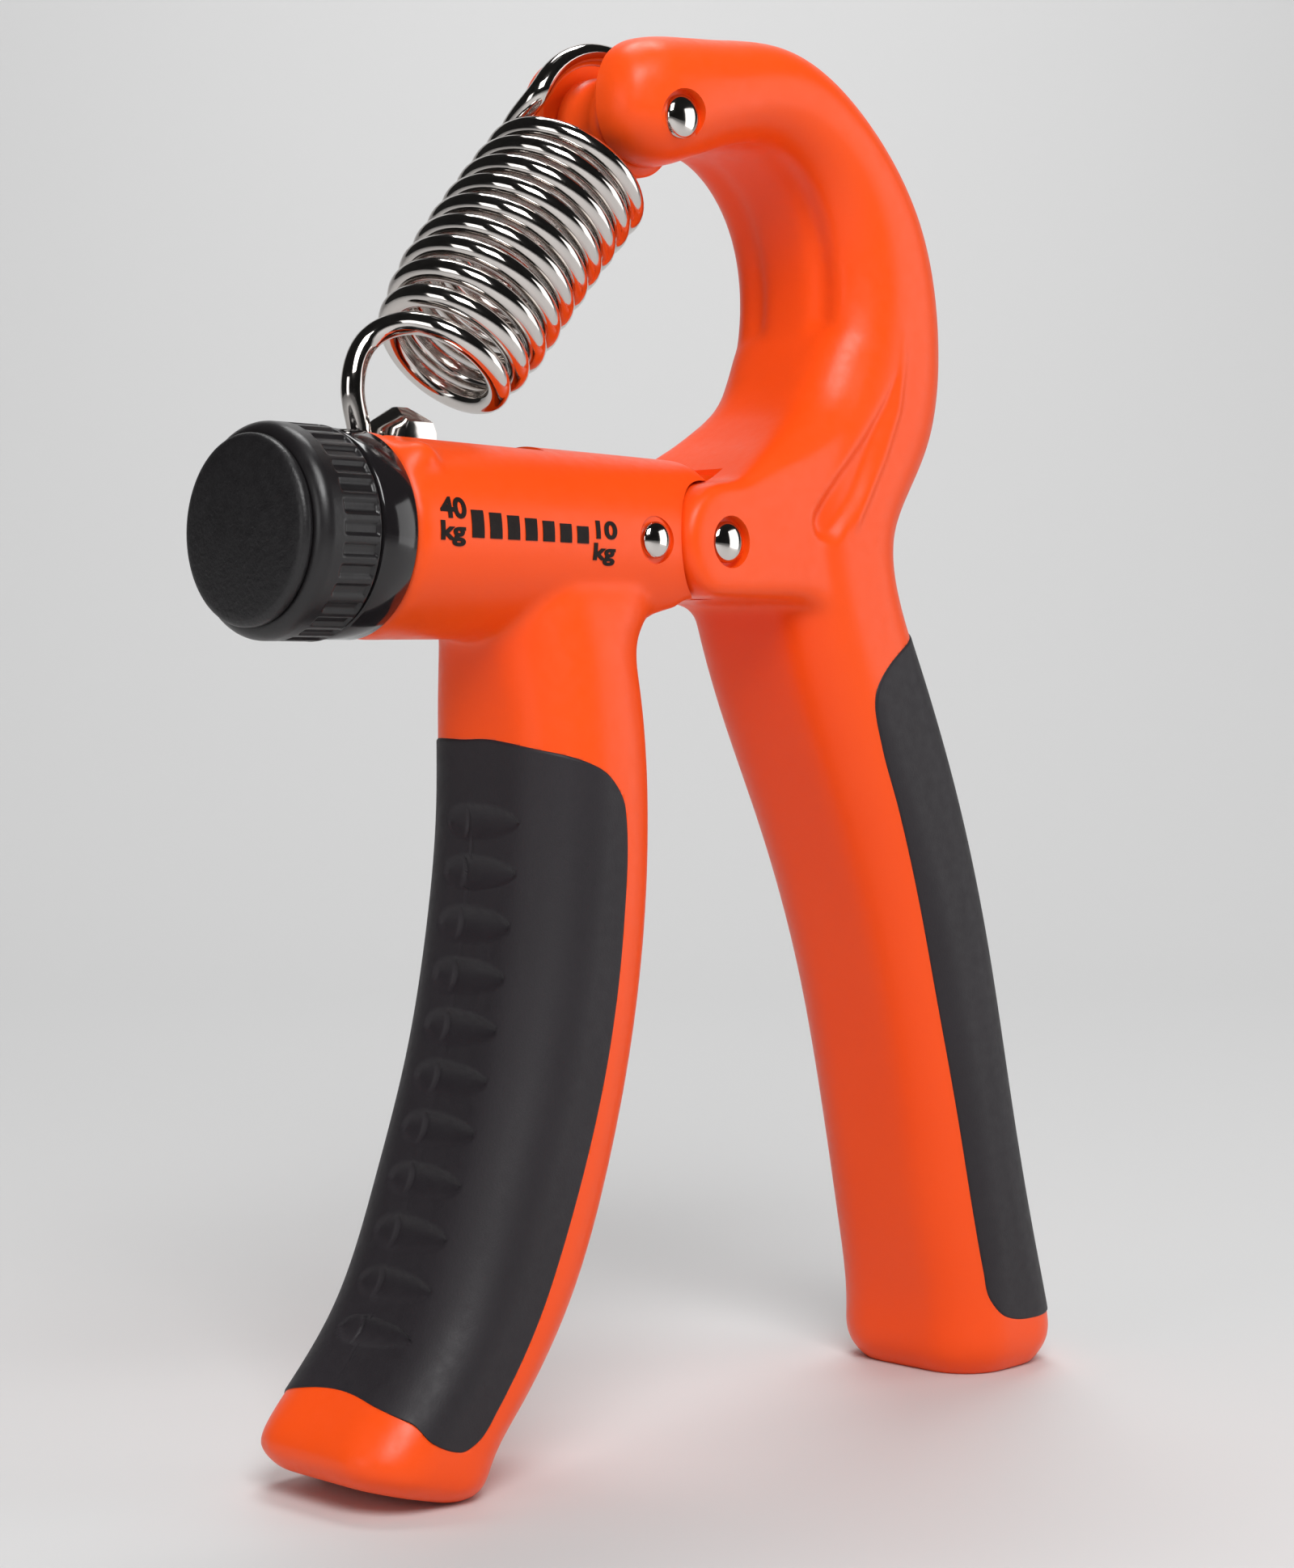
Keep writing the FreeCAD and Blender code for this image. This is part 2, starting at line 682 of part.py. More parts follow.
# Spindle: threaded rod with a clip groove and a reduced tail
spindle_rod = rod_x("SpindleRod", "spindle_left", "tail_left - spindle_left", "spindle_radius")
spindle_tail = rod_x("SpindleTail", "tail_left - 1", "tail_shoulder + 1 + tail_length", "tail_radius")
groove_blank = rod_x("GrooveBlank", "clip_left", "clip_thickness", "2 * spindle_radius")
groove_core = rod_x("GrooveCore", "clip_left - 1", "clip_thickness + 2", "clip_groove")
groove = cut("ClipGroove", groove_blank, groove_core)
piece(cut("Spindle", fuse("SpindleTurned", spindle_rod, spindle_tail), groove), "spindle")

# Retaining clip behind the head bearing
clip_blank = rod_x("ClipBlank", "clip_left", "clip_thickness", "clip_radius")
clip_hole = rod_x("ClipHole", "clip_left - 1", "clip_thickness + 2", "clip_groove")
piece(cut("RetainingClip", clip_blank, clip_hole), "retaining_clip")

# Thrust washer between knob and collar, which takes the spring's pull
thrust_blank = rod_x("ThrustBlank", "knob_right", "thrust_thickness", "thrust_radius")
thrust_hole = rod_x("ThrustHole", "knob_right - 1", "thrust_thickness + 2", "spindle_radius")
piece(cut("ThrustWasher", thrust_blank, thrust_hole), "thrust_washer")


def hexagon(name, start, length, corner):
    """A hexagonal bar along the barrel's axis with one corner straight up."""
    bar = doc.addObject("Part::Prism", name)
    bar.Polygon = 6
    bar.Placement = Placement(Vector(), Rotation(Vector(0, 1, 0), 90))
    return bind(
        bar,
        Circumradius=corner,
        Height=length,
        Placement__Base__x=start,
        Placement__Base__z="-axis_drop",
    )


# Knob nut: hexagon that holds the knob on the spindle, under the cap
knob_nut_bar = hexagon("KnobNutBar", "spindle_left", "knob_nut_thickness", "knob_nut_radius")
knob_nut_hole = rod_x("KnobNutHole", "spindle_left - 1", "knob_nut_thickness + 2", "spindle_radius")
piece(cut("KnobNut", knob_nut_bar, knob_nut_hole), "knob_nut")

# Travelling nut: round in the bore, with a hexagon's corner up through the slot
nut_key = common(
    "NutKey",
    hexagon("NutHexagon", "nut_left", "nut_thickness", "nut_ridge"),
    box(
        "NutKeyBlock",
        "nut_left",
        "-slot_width / 2 + nut_slack",
        "-axis_drop",
        "nut_thickness",
        "slot_width - 2 * nut_slack",
        "2 * nut_ridge",
    ),
)
nut_disc = rod_x("NutDisc", "nut_left", "nut_thickness", "bore_radius - running_gap")
nut_hole = rod_x("NutHole", "nut_left - 1", "nut_thickness + 2", "spindle_radius + running_gap")
piece(cut("TravellingNut", fuse("NutBlank", nut_disc, nut_key), nut_hole), "travelling_nut")

# Spring bush: grooved roller on the spring pin
bush_size = ("-bush_length / 2", "bush_length", "bush_core_radius")
bush_core = rod_y("BushCore", *fork_pin[:2], *bush_size)
flange_size = ("(bush_length - bush_groove) / 2", "bush_core_radius + bush_flange")
bush_front = rod_y("BushFront", *fork_pin[:2], "-bush_length / 2", *flange_size)
bush_back = rod_y("BushBack", *fork_pin[:2], "bush_groove / 2", *flange_size)
bush_bore = ("-bush_length", "2 * bush_length", "spring_pin_radius + running_gap")
bush_hole = rod_y("BushHole", *fork_pin[:2], *bush_bore)
piece(cut("SpringBush", fuse("BushBlank", bush_core, bush_front, bush_back), bush_hole), "spring_bush")

# Spring: one wire from the eye round the spindle, through the coil, to the hook on the bush
tilt = math.radians(size("coil_angle"))
along = Vector(math.cos(tilt), 0, math.sin(tilt))
upward = Vector(-math.sin(tilt), 0, math.cos(tilt))
frontward = Vector(0, -1, 0)
coil_foot = Vector(-size("coil_x"), 0, size("coil_z"))
coil_radius, pitch, turns = size("coil_radius"), size("coil_pitch"), size("coil_turns")
widening_turns = 0.35 * turns
wire_radius = size("wire_radius")
eye_centre = Vector(at("eye_x"), 0, -size("axis_drop"))
eye_radius = size("spindle_radius") + wire_radius + size("eye_gap")
hook_centre = Vector(-size("pin_x"), 0, size("pin_z")) - along * size("hook_drop")
hook_radius = size("hook_radius")


def coil_point(degrees):
    """A point of the coil and its direction. Zero is the upper side, 90 the front. The first
    turns widen from the narrow foot, and the axis bows upwards by half a sine wave."""
    a = math.radians(degrees)
    out = upward * math.cos(a) + frontward * math.sin(a)
    round_it = upward * -math.sin(a) + frontward * math.cos(a)
    left = max(0.0, 1 - a / (2 * math.pi * widening_turns))
    radius = coil_radius - size("coil_narrow") * left**2
    axis = coil_foot + along * (pitch * degrees / 360)
    axis += upward * (size("coil_bow") * math.sin(a / (2 * turns)))
    widening = size("coil_narrow") * left / (math.pi * widening_turns)
    bowing = size("coil_bow") * math.cos(a / (2 * turns)) / (2 * turns)
    way = round_it * radius + along * (pitch / (2 * math.pi)) + out * widening + upward * bowing
    return axis + out * radius, way


def eye_point(degrees):
    """A point of the lower eye. Zero is its top, 90 its front."""
    a = math.radians(degrees)
    point = eye_centre + Vector(0, -math.sin(a), math.cos(a)) * eye_radius
    return point, Vector(0, -math.cos(a), -math.sin(a))


def hook_point(degrees):
    """A point of the upper hook, at degrees from +X towards +Z, running clockwise."""
    a = math.radians(degrees)
    point = hook_centre + Vector(math.cos(a), 0, math.sin(a)) * hook_radius
    return point, Vector(math.sin(a), 0, -math.cos(a))


# The eye is made from its free end, so its points run backwards to the shank
route = [(p, -d) for p, d in (eye_point(a) for a in (285, 240, 180, 120, 60, 20))]
shank = eye_centre + Vector(0, 1.5, 7.6)
route.append((shank, Vector(0, 0, 1)))
route.append((shank + Vector(-0.9, 0.1, 5.6), Vector(0.04, -0.03, 1)))
coil_start, coil_end = 25, 360 * turns - 50
bend, _ = coil_point(coil_start)
route.append((bend + Vector(-2.7, 3.7, -1.0), Vector(0.62, -0.42, 0.66)))
steps = round((coil_end - coil_start) / 90)
for n in range(steps + 1):
    route.append(coil_point(coil_start + (coil_end - coil_start) * n / steps))
route += [hook_point(a) for a in (146, 90, 35)]


def arc(start, heading, end):
    """The arc from start along heading to end, and the direction it ends in."""
    chord = end - start
    across = chord - heading * chord.dot(heading)
    if across.Length < 1e-6 * chord.Length:
        return Part.LineSegment(start, end), heading
    across.normalize()
    radius = chord.Length**2 / (2 * chord.dot(across))
    turn = 2 * math.atan2(chord.dot(across), chord.dot(heading))
    hub = start + across * radius
    middle = hub - across * radius * math.cos(turn / 2) + heading * radius * math.sin(turn / 2)
    bends.append(abs(radius))
    return Part.Arc(start, middle, end), heading * math.cos(turn) + across * math.sin(turn)


def biarc(start, first, end, last):
    """Two arcs that leave start along first and reach end along last."""
    gap, both = end - start, first + last
    square = 2 * (1 - first.dot(last))
    lean = gap.dot(both)
    reach = (
        gap.Length**2 / (2 * lean)
        if square < 1e-9
        else (-lean + math.sqrt(lean**2 + square * gap.Length**2)) / square
    )
    joint = (start + end + (first - last) * reach) / 2
    one, heading = arc(start, first, joint)
    two, _ = arc(joint, heading, end)
    return [one, two]


bends = []
route = [(point, direction.normalize()) for point, direction in route]
first_point, first_way = route[0]
last_point, last_way = route[-1]
curves = [Part.LineSegment(first_point - first_way * 2 * wire_radius, first_point)]
for (p, v), (q, w) in zip(route, route[1:]):
    curves += biarc(p, v, q, w)
curves.append(Part.LineSegment(last_point, last_point + last_way * 2 * wire_radius))
wire_path = Part.Wire([c.toShape() for c in curves])
wire_start = curves[0].StartPoint
ring = Part.Wire(Part.Circle(wire_start, first_way, wire_radius).toShape())
spring_solid = wire_path.makePipeShell([ring], True, False)
piece(solid("Spring", spring_solid), "spring")

# Least gap of the wire to itself, measured on points along its path
samples = wire_path.discretize(Distance=0.4)
gaps = [
    (a - b).Length
    for i, a in enumerate(samples)
    for b in samples[i + round(5 * wire_radius / 0.4) :]
]
print(f"spring: least gap to itself {min(gaps) - 2 * wire_radius:.2f} mm")
print(f"spring: tightest bend {min(bends):.2f} mm, wire length {wire_path.Length:.1f} mm")
ideal = math.pi * wire_radius**2 * wire_path.Length
print(f"spring: volume {spring_solid.Volume:.1f}, section times length {ideal:.1f}")

doc.recompute()
for item in doc.Objects:
    if "Invalid" in item.State or "Error" in item.State:
        raise RuntimeError(f"{item.Name} didn't compute: {item.State}")
for item in PIECES:
    shape = item.Shape
    if shape.isNull() or not shape.isValid() or not shape.Solids:
        raise RuntimeError(f"{item.Label} isn't a valid solid")
    shape.exportStep(f"parts/{item.Label}.step")
    print(f"{item.Label}: {len(shape.Solids)} solid, {shape.Volume:.1f} mm3")
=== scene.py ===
import bmesh
import bpy
import numpy as np
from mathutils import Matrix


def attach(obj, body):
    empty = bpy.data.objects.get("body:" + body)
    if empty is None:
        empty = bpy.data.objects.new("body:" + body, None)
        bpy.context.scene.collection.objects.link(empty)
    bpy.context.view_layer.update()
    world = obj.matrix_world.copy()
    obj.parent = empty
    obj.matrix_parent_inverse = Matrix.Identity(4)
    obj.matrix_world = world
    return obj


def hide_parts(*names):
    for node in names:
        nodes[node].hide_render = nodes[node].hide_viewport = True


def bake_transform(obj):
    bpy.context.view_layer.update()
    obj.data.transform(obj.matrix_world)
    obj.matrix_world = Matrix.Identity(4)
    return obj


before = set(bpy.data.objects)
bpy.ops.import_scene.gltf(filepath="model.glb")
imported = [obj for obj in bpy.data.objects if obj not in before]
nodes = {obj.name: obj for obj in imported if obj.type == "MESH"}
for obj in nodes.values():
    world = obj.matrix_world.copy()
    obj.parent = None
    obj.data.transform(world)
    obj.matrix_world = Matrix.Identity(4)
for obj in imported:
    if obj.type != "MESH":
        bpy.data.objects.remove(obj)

for spare in ("Cube", "Light", "Camera"):
    if spare in bpy.data.objects:
        bpy.data.objects.remove(bpy.data.objects[spare])
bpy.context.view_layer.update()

# Barrel handle: the barrel and the finger grip, one injection moulding in orange plastic. The two
# run into each other in soft fillets. Every length is in millimetres about the handle pivot.
PIVOT = np.array([-0.35, 0.0, 83.8])
FLOOR = -PIVOT[2]
# Height of the barrel's axis, and the rivet through the barrel: x, z
AXIS, TAIL_RIVET = -0.4, (-9.1, -0.1)
# Sections down the grip: centre x, z, lean in degrees, depth, width, corner radius
FINGER_GRIP = np.array(
    [
        (-15.2, -1.7, 0, 15.0, 13.4, 6.4),
        (-14.9, -5.5, 0, 20.0, 16.6, 8.0),
        (-15.8, -8.6, 0, 17.0, 18.0, 7.6),
        (-15.9, -13.0, 0, 15.0, 19.2, 6.8),
        (-15.4, -24.8, 0, 15.0, 20.0, 6.4),
        (-16.3, -36.0, 0, 15.7, 20.0, 6.4),
        (-18.4, -47.0, 0, 16.2, 20.0, 6.4),
        (-21.8, -58.0, 0, 16.8, 20.0, 6.4),
        (-26.3, -68.4, 0, 16.9, 20.0, 6.4),
        (-32.3, -76.3, -7, 16.3, 20.0, 6.2),
        (-35.3, -80.2, -12, 15.6, 20.0, 5.8),
        (-36.0, -82.2, -15, 13.8, 18.4, 5.2),
        (-36.2, -83.0, -15, 11.4, 16.0, 4.6),
    ]
)


def section_at(table, along):
    """Section values at a distance down the line of centres: the natural cubic spline through
    the table's rows, from the bending at each row that keeps the slope unbroken."""
    knots = np.concatenate([[0.0], np.cumsum(np.hypot(*np.diff(table[:, :2], axis=0).T))])
    gap, slope = np.diff(knots), np.diff(table, axis=0) / np.diff(knots)[:, None]
    system, pull = np.eye(len(knots)), np.zeros(table.shape)
    inner = np.arange(1, len(knots) - 1)
    system[inner, inner - 1], system[inner, inner + 1] = gap[:-1], gap[1:]
    system[inner, inner] = 2 * (gap[:-1] + gap[1:])
    pull[inner] = 6 * np.diff(slope, axis=0)
    bend = np.linalg.solve(system, pull)
    along = np.asarray(along, float)
    low = np.clip(np.searchsorted(knots, along) - 1, 0, len(knots) - 2)
    step = gap[low][..., None]
    before = (knots[low + 1] - along)[..., None] / step
    after = 1 - before
    chord = before * table[low] + after * table[low + 1]
    sag = (before**3 - before) * bend[low] + (after**3 - after) * bend[low + 1]
    return np.moveaxis(chord + sag * step**2 / 6, -1, 0)


def skin(table, outer, along, girth):
    """Point and outward direction on a grip with rounded sections. Girth is the distance round
    the section from the middle of its outer side, positive to the front. It is spent in turn on
    half a flat, a corner, a side, a corner and half a flat, each clipped to its own length."""
    along, girth = np.broadcast_arrays(along, girth)
    x, z, lean, depth, width, corner = section_at(table, along)
    run, bend = np.abs(girth), corner * np.pi / 2
    flat, side = width / 2 - corner, depth - 2 * corner
    first = np.clip((run - flat) / corner, 0, np.pi / 2)
    down = np.clip(run - flat - bend, 0, side)
    second = np.clip((run - flat - bend - side) / corner, 0, np.pi / 2)
    back = np.clip(run - flat - side - 2 * bend, 0, flat)
    deep = depth / 2 - corner - down + corner * (np.cos(first) - np.sin(second))
    wide = np.clip(run, 0, flat) + corner * (np.sin(first) + np.cos(second) - 1) - back
    lean, front = np.radians(lean), -np.sign(girth)
    out = outer * np.stack([np.cos(lean), 0 * lean, np.sin(lean)], -1)
    centre = np.stack([x, front * wide, z], -1)
    facing = out * (np.cos(first) - np.sin(second))[..., None]
    facing[..., 1] += front * np.sin(first) * np.cos(second)
    return centre + out * deep[..., None], facing


def length_of(table):
    """Length of the line of centres: the sum of the steps between rows."""
    return np.hypot(*np.diff(table[:, :2], axis=0).T).sum()


def moulding(table, outer, rows=320, columns=112, relief=None):
    """A whole grip as a closed grid: the skin at even distances and even shares of the girth,
    drawn together to a point at each end. Relief is a height over the distance along and the
    distance round from the middle of the inner side."""
    along = np.linspace(0, length_of(table), rows)[:, None]
    _, _, _, depth, width, corner = section_at(table, along)
    half = depth + width - (4 - np.pi) * corner
    girth = half * (np.arange(columns) + 0.5 - columns / 2) / (columns / 2)
    grid, facing = skin(table, outer, along, girth)
    if relief:
        grid = grid + facing * relief(along, half - np.abs(girth))[..., None]
    ends = [np.broadcast_to(grid[k].mean(0), grid[k].shape)[None] for k in (0, -1)]
    return np.concatenate([ends[0], grid, ends[1]])


def turned(axis, profile, centre=(0, 0, 0), columns=96, first=0.0):
    """A lathe form: (distance, radius) pairs carried round a line along x or y."""
    run, radius = np.asarray(profile, float).T[..., None]
    angle = np.linspace(0, 2 * np.pi, columns, endpoint=False) + first
    run, one, two = np.broadcast_arrays(run, radius * np.cos(angle), radius * np.sin(angle))
    return np.stack([run, one, two] if axis == "x" else [one, run, two], -1) + np.array(centre)


def block(x, y, z):
    """A box between pairs of x, y and z, as a closed grid of four columns."""
    foot = np.array([(x[0], y[0]), (x[1], y[0]), (x[1], y[1]), (x[0], y[1])], float)
    levels = [np.column_stack([foot, np.full(4, height)]) for height in z]
    ends = [np.broadcast_to(level.mean(0), (4, 3)) for level in levels]
    return np.stack([ends[0], *levels, ends[1]])


def shell(name, *grids):
    """One mesh of closed grids: each point is joined to the next in its row and in its column,
    a row runs round to its own start, and points that meet are made one."""
    points, faces, start = [], [], 0
    for grid in grids:
        rows, columns = grid.shape[:2]
        i, j = np.mgrid[0 : rows - 1, 0:columns]
        near, far = i * columns + j, i * columns + (j + 1) % columns
        faces.append(np.stack([near, far, far + columns, near + columns], -1).reshape(-1, 4) + start)
        points.append(grid.reshape(-1, 3))
        start += rows * columns
    mesh = bpy.data.meshes.new(name)
    place = (np.concatenate(points) + PIVOT) / 1000
    mesh.from_pydata(place.tolist(), [], np.concatenate(faces).tolist())
    form = bmesh.new()
    form.from_mesh(mesh)
    bmesh.ops.remove_doubles(form, verts=form.verts, dist=2e-6)
    bmesh.ops.recalc_face_normals(form, faces=form.faces)
    form.to_mesh(mesh)
    form.free()
    mesh.shade_smooth()
    piece = bpy.data.objects.new(name, mesh)
    bpy.context.scene.collection.objects.link(piece)
    return piece


def settle(piece):
    """The piece's modifiers are worked into its mesh."""
    graph = bpy.context.evaluated_depsgraph_get()
    finished = bpy.data.meshes.new_from_object(piece.evaluated_get(graph))
    piece.modifiers.clear()
    piece.data = finished
    return piece


def melt(piece, grain, passes):
    """Forms that overlap become one skin of small squares, softened towards their neighbours."""
    skin_over = piece.modifiers.new("Melt", "REMESH")
    skin_over.mode = "VOXEL"
    skin_over.voxel_size = grain / 1000
    soften = piece.modifiers.new("Soften", "SMOOTH")
    soften.factor = 0.5
    soften.iterations = passes
    return settle(piece)


def work(piece, operation, *tools):
    """Closed forms are cut out of the piece, or joined to it, and then thrown away."""
    for tool in tools:
        cut = piece.modifiers.new("Work", "BOOLEAN")
        cut.operation = operation
        cut.solver = "MANIFOLD"
        cut.object = tool
        settle(piece)
        bpy.data.objects.remove(tool)
    return piece


# The barrel's lathe profile tapers to the right: distance along the axis, radius
TAPER = [(-37.3, 9.1), (-20.0, 8.84), (1.0, 8.52)]
BARREL = [(-38.0, 0), (-38.0, 8.4), (-37.8, 8.85), *TAPER, (1.0, 0)]
SLOT_LIP = [(-37.4, 0), (-37.1, 1.2), (-36.3, 1.9), (-35.4, 2.1), (-34.5, 1.9), (-33.7, 1.2), (-33.4, 0)]
CROTCH_RADIUS, EAR_ROOM, BORE_RADIUS = 6, 5.9, 6
TONGUE_RADIUS, TONGUE_HALF = 5.3, 3.89
# Sizes of the small squares of a moulding's skin, and the angle at which its edges look sharp
VOXEL, FINE_VOXEL, SHARP = 0.42, 0.40, np.radians(38)


def rod(start, end, radius):
    """The lathe profile of a plain rod or hole."""
    return [(start, 0), (start, radius), (end, radius), (end, 0)]


def seats(x, z, radius, near, far=12):
    """Round seats for a rivet's heads: a short hole on each side of a handle."""
    ends = (-far, -near), (near, far)
    return [shell("seat", turned("y", rod(*end, radius), (x, 0, z))) for end in ends]


barrel_handle = shell(
    "handle_barrel",
    turned("x", BARREL, (0, 0, AXIS)),
    turned("x", SLOT_LIP, (0, -5.6, 5.7), columns=32),
    moulding(FINGER_GRIP, -1),
)
melt(barrel_handle, VOXEL, passes=0)
work(
    barrel_handle,
    "DIFFERENCE",
    shell("crotch", turned("y", rod(-13, 13, CROTCH_RADIUS), (-3.9, 0, -12.3))),
    shell("clearance", block((-3.9, 9), (-13, 13), (-24, -5.4))),
)
melt(barrel_handle, VOXEL, passes=18)
work(
    barrel_handle,
    "DIFFERENCE",
    shell("ear_recess", turned("y", rod(-13, 13, EAR_ROOM))),
    shell("bore", turned("x", rod(-40, -7.6, BORE_RADIUS), (0, 0, AXIS))),
    shell("slot", block((-37, -17.9), (-3, 3), (0, 13))),
    *seats(*TAIL_RIVET, 2.2, 8.2),
    shell("floor_cut", block((-60, 20), (-20, 20), (-90, FLOOR))),
)
work(
    barrel_handle,
    "UNION",
    shell("tongue_root", block((-7.2, 0.2), (-3.9, 3.9), (-5.2, 6.6))),
    shell("tongue", turned("y", rod(-TONGUE_HALF, TONGUE_HALF, TONGUE_RADIUS))),
    shell("tongue_stop", block((-0.1, 3.95), (-3.88, 3.88), (0, 6.59))),
)
barrel_handle.data.shade_smooth()
barrel_handle.data.set_sharp_from_angle(angle=SHARP)


def texture_group(name, inputs, outputs):
    """An empty group of shader nodes with named inputs and outputs."""
    group = bpy.data.node_groups.new(name, "ShaderNodeTree")
    for label, kind, value in inputs:
        socket = group.interface.new_socket(label, in_out="INPUT", socket_type=kind)
        socket.default_value = value
    for label, kind in outputs:
        group.interface.new_socket(label, in_out="OUTPUT", socket_type=kind)
    return group


def node(tree, kind, links=(), **values):
    """A node with its own values set, and the sockets that feed it linked."""
    made = tree.nodes.new("ShaderNode" + kind)
    for key, value in values.items():
        setattr(made, key, value)
    for socket, source in dict(links).items():
        if isinstance(source, bpy.types.NodeSocket):
            tree.links.new(source, made.inputs[socket])
        else:
            made.inputs[socket].default_value = source
    return made


# Surface group: two colours that drift into each other, a gloss that varies, and a fine grain
moulded = texture_group(
    "moulded_surface",
    [
        ("Colour", "NodeSocketColor", (0.8, 0.8, 0.8, 1)),
        ("Drift colour", "NodeSocketColor", (0.7, 0.7, 0.7, 1)),
        ("Drift scale", "NodeSocketFloat", 60.0),
        ("Gloss from", "NodeSocketFloat", 0.3),
        ("Gloss to", "NodeSocketFloat", 0.4),
        ("Grain scale", "NodeSocketFloat", 3000.0),
        ("Grain height", "NodeSocketFloat", 0.00001),
    ],
    [("Colour", "NodeSocketColor"), ("Roughness", "NodeSocketFloat"), ("Normal", "NodeSocketVector")],
)
given = moulded.nodes.new("NodeGroupInput").outputs
where = node(moulded, "TexCoord").outputs["Object"]
drift = node(moulded, "TexNoise", {"Vector": where, "Scale": given["Drift scale"], "Detail": 3.0})
shade = node(
    moulded,
    "Mix",
    {0: drift.outputs["Fac"], 6: given["Colour"], 7: given["Drift colour"]},
    data_type="RGBA",
)
wear = node(moulded, "TexNoise", {"Vector": where, "Scale": 900.0, "Detail": 4.0})
gloss = node(
    moulded,
    "MapRange",
    {"Value": wear.outputs["Fac"], 1: 0.3, 2: 0.7, 3: given["Gloss from"], 4: given["Gloss to"]},
)
grain = node(moulded, "TexNoise", {"Vector": where, "Scale": given["Grain scale"], "Detail": 2.0})
rise = node(
    moulded, "Bump", {"Height": grain.outputs["Fac"], "Distance": given["Grain height"], "Strength": 1.0}
)
taken = moulded.nodes.new("NodeGroupOutput").inputs
moulded.links.new(shade.outputs[2], taken["Colour"])
moulded.links.new(gloss.outputs[0], taken["Roughness"])
moulded.links.new(rise.outputs[0], taken["Normal"])


def finish_of(name, surface=None, given=(), **even):
    """A material: a Principled shader with its even values on its own sockets, and the colour,
    gloss and grain that change over the surface from a group."""
    material = bpy.data.materials.new(name)
    material.use_nodes = True
    tree = material.node_tree
    face = tree.nodes["Principled BSDF"]
    for socket, value in even.items():
        face.inputs[socket.replace("_", " ")].default_value = value
    if surface:
        skin_group = node(tree, "Group", node_tree=surface)
        for socket, value in dict(given).items():
            skin_group.inputs[socket].default_value = value
        for output, socket in (("Colour", "Base Color"), ("Roughness",) * 2, ("Normal",) * 2):
            if output in skin_group.outputs:
                tree.links.new(skin_group.outputs[output], face.inputs[socket])
    return material


def dress(piece, material, body=None, stands_for=()):
    """The piece gets its material, and a piece drawn here is hung on its body's empty and
    hides the CAD nodes that it stands for."""
    piece.data.materials.clear()
    piece.data.materials.append(material)
    if body:
        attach(piece, body)
        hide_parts(*stands_for)


orange_plastic = finish_of(
    "orange_plastic",
    moulded,
    {
        "Colour": (0.980, 0.092, 0.007, 1),
        "Drift colour": (0.950, 0.078, 0.005, 1),
        "Drift scale": 70.0,
        "Gloss from": 0.32,
        "Gloss to": 0.42,
        "Grain scale": 2600.0,
        "Grain height": 0.000006,
    },
    Specular_IOR_Level=0.3,
)
dress(barrel_handle, orange_plastic, "barrel_handle", ["barrel_handle_body"])

# Finger pad: soft rubber moulded over the grip's outer side, flush but for a hair's breadth. Its
# ripples are shallow lobes that straddle the mould's parting line.
FINGER_PAD_SIDE = np.array(
    [
        (-23.3, -18.1),
        (-21.6, -19.2),
        (-18.7, -20.2),
        (-16.1, -21.7),
        (-14.4, -24.4),
        (-14.6, -35.0),
        (-16.4, -46.0),
        (-19.4, -56.0),
        (-23.2, -65.3),
        (-30.0, -76.0),
        (-31.8, -78.0),
        (-34.0, -78.8),
        (-37.1, -77.6),
        (-38.6, -75.8),
        (-38.9, -74.3),
    ]
)


REACH, FAR_OFF = 14, 99.0


def onto_skin(table, outer, side_view):
    """Distance along and girth of points drawn in side view: the nearest of many sections within
    reach, and the girth on it whose point lies as deep. What doesn't count is put far off."""
    along = np.linspace(0, length_of(table), 2000)
    girth = np.linspace(0, 30, 1500)
    point, _ = skin(table, outer, along, 0.0)
    x, z, lean, depth, width, corner = section_at(table, along)
    lean = np.radians(lean)
    across = side_view[:, None] - np.stack([x, z], -1)
    off = -across[..., 0] * np.sin(lean) + across[..., 1] * np.cos(lean)
    off = np.where(np.hypot(across[..., 0], across[..., 1]) < REACH, np.abs(off), FAR_OFF)
    best = np.argmin(off, axis=1)
    pick = np.arange(len(side_view))
    deep = outer * (
        across[pick, best, 0] * np.cos(lean[best]) + across[pick, best, 1] * np.sin(lean[best])
    )
    half = (depth + width - (4 - np.pi) * corner)[best]
    round_it = np.minimum(girth, half[:, None])
    place, _ = skin(table, outer, along[best][:, None], round_it)
    hub = np.stack([x, z], -1)[best][:, None]
    reach = outer * (
        (place[..., 0] - hub[..., 0]) * np.cos(lean[best])[:, None]
        + (place[..., 2] - hub[..., 1]) * np.sin(lean[best])[:, None]
    )
    flat_part = girth > (width / 2 - corner)[best][:, None]
    miss = np.where(flat_part, np.abs(reach - deep[:, None]), FAR_OFF)
    return along[best], girth[np.argmin(miss, axis=1)]


def smooth(value, start, end):
    """An even rise from 0 to 1 between start and end: three squares less two cubes."""
    share = np.clip((value - start) / (end - start), 0, 1)
    return share * share * (3 - 2 * share)


CORNER_LIFT = 1.1


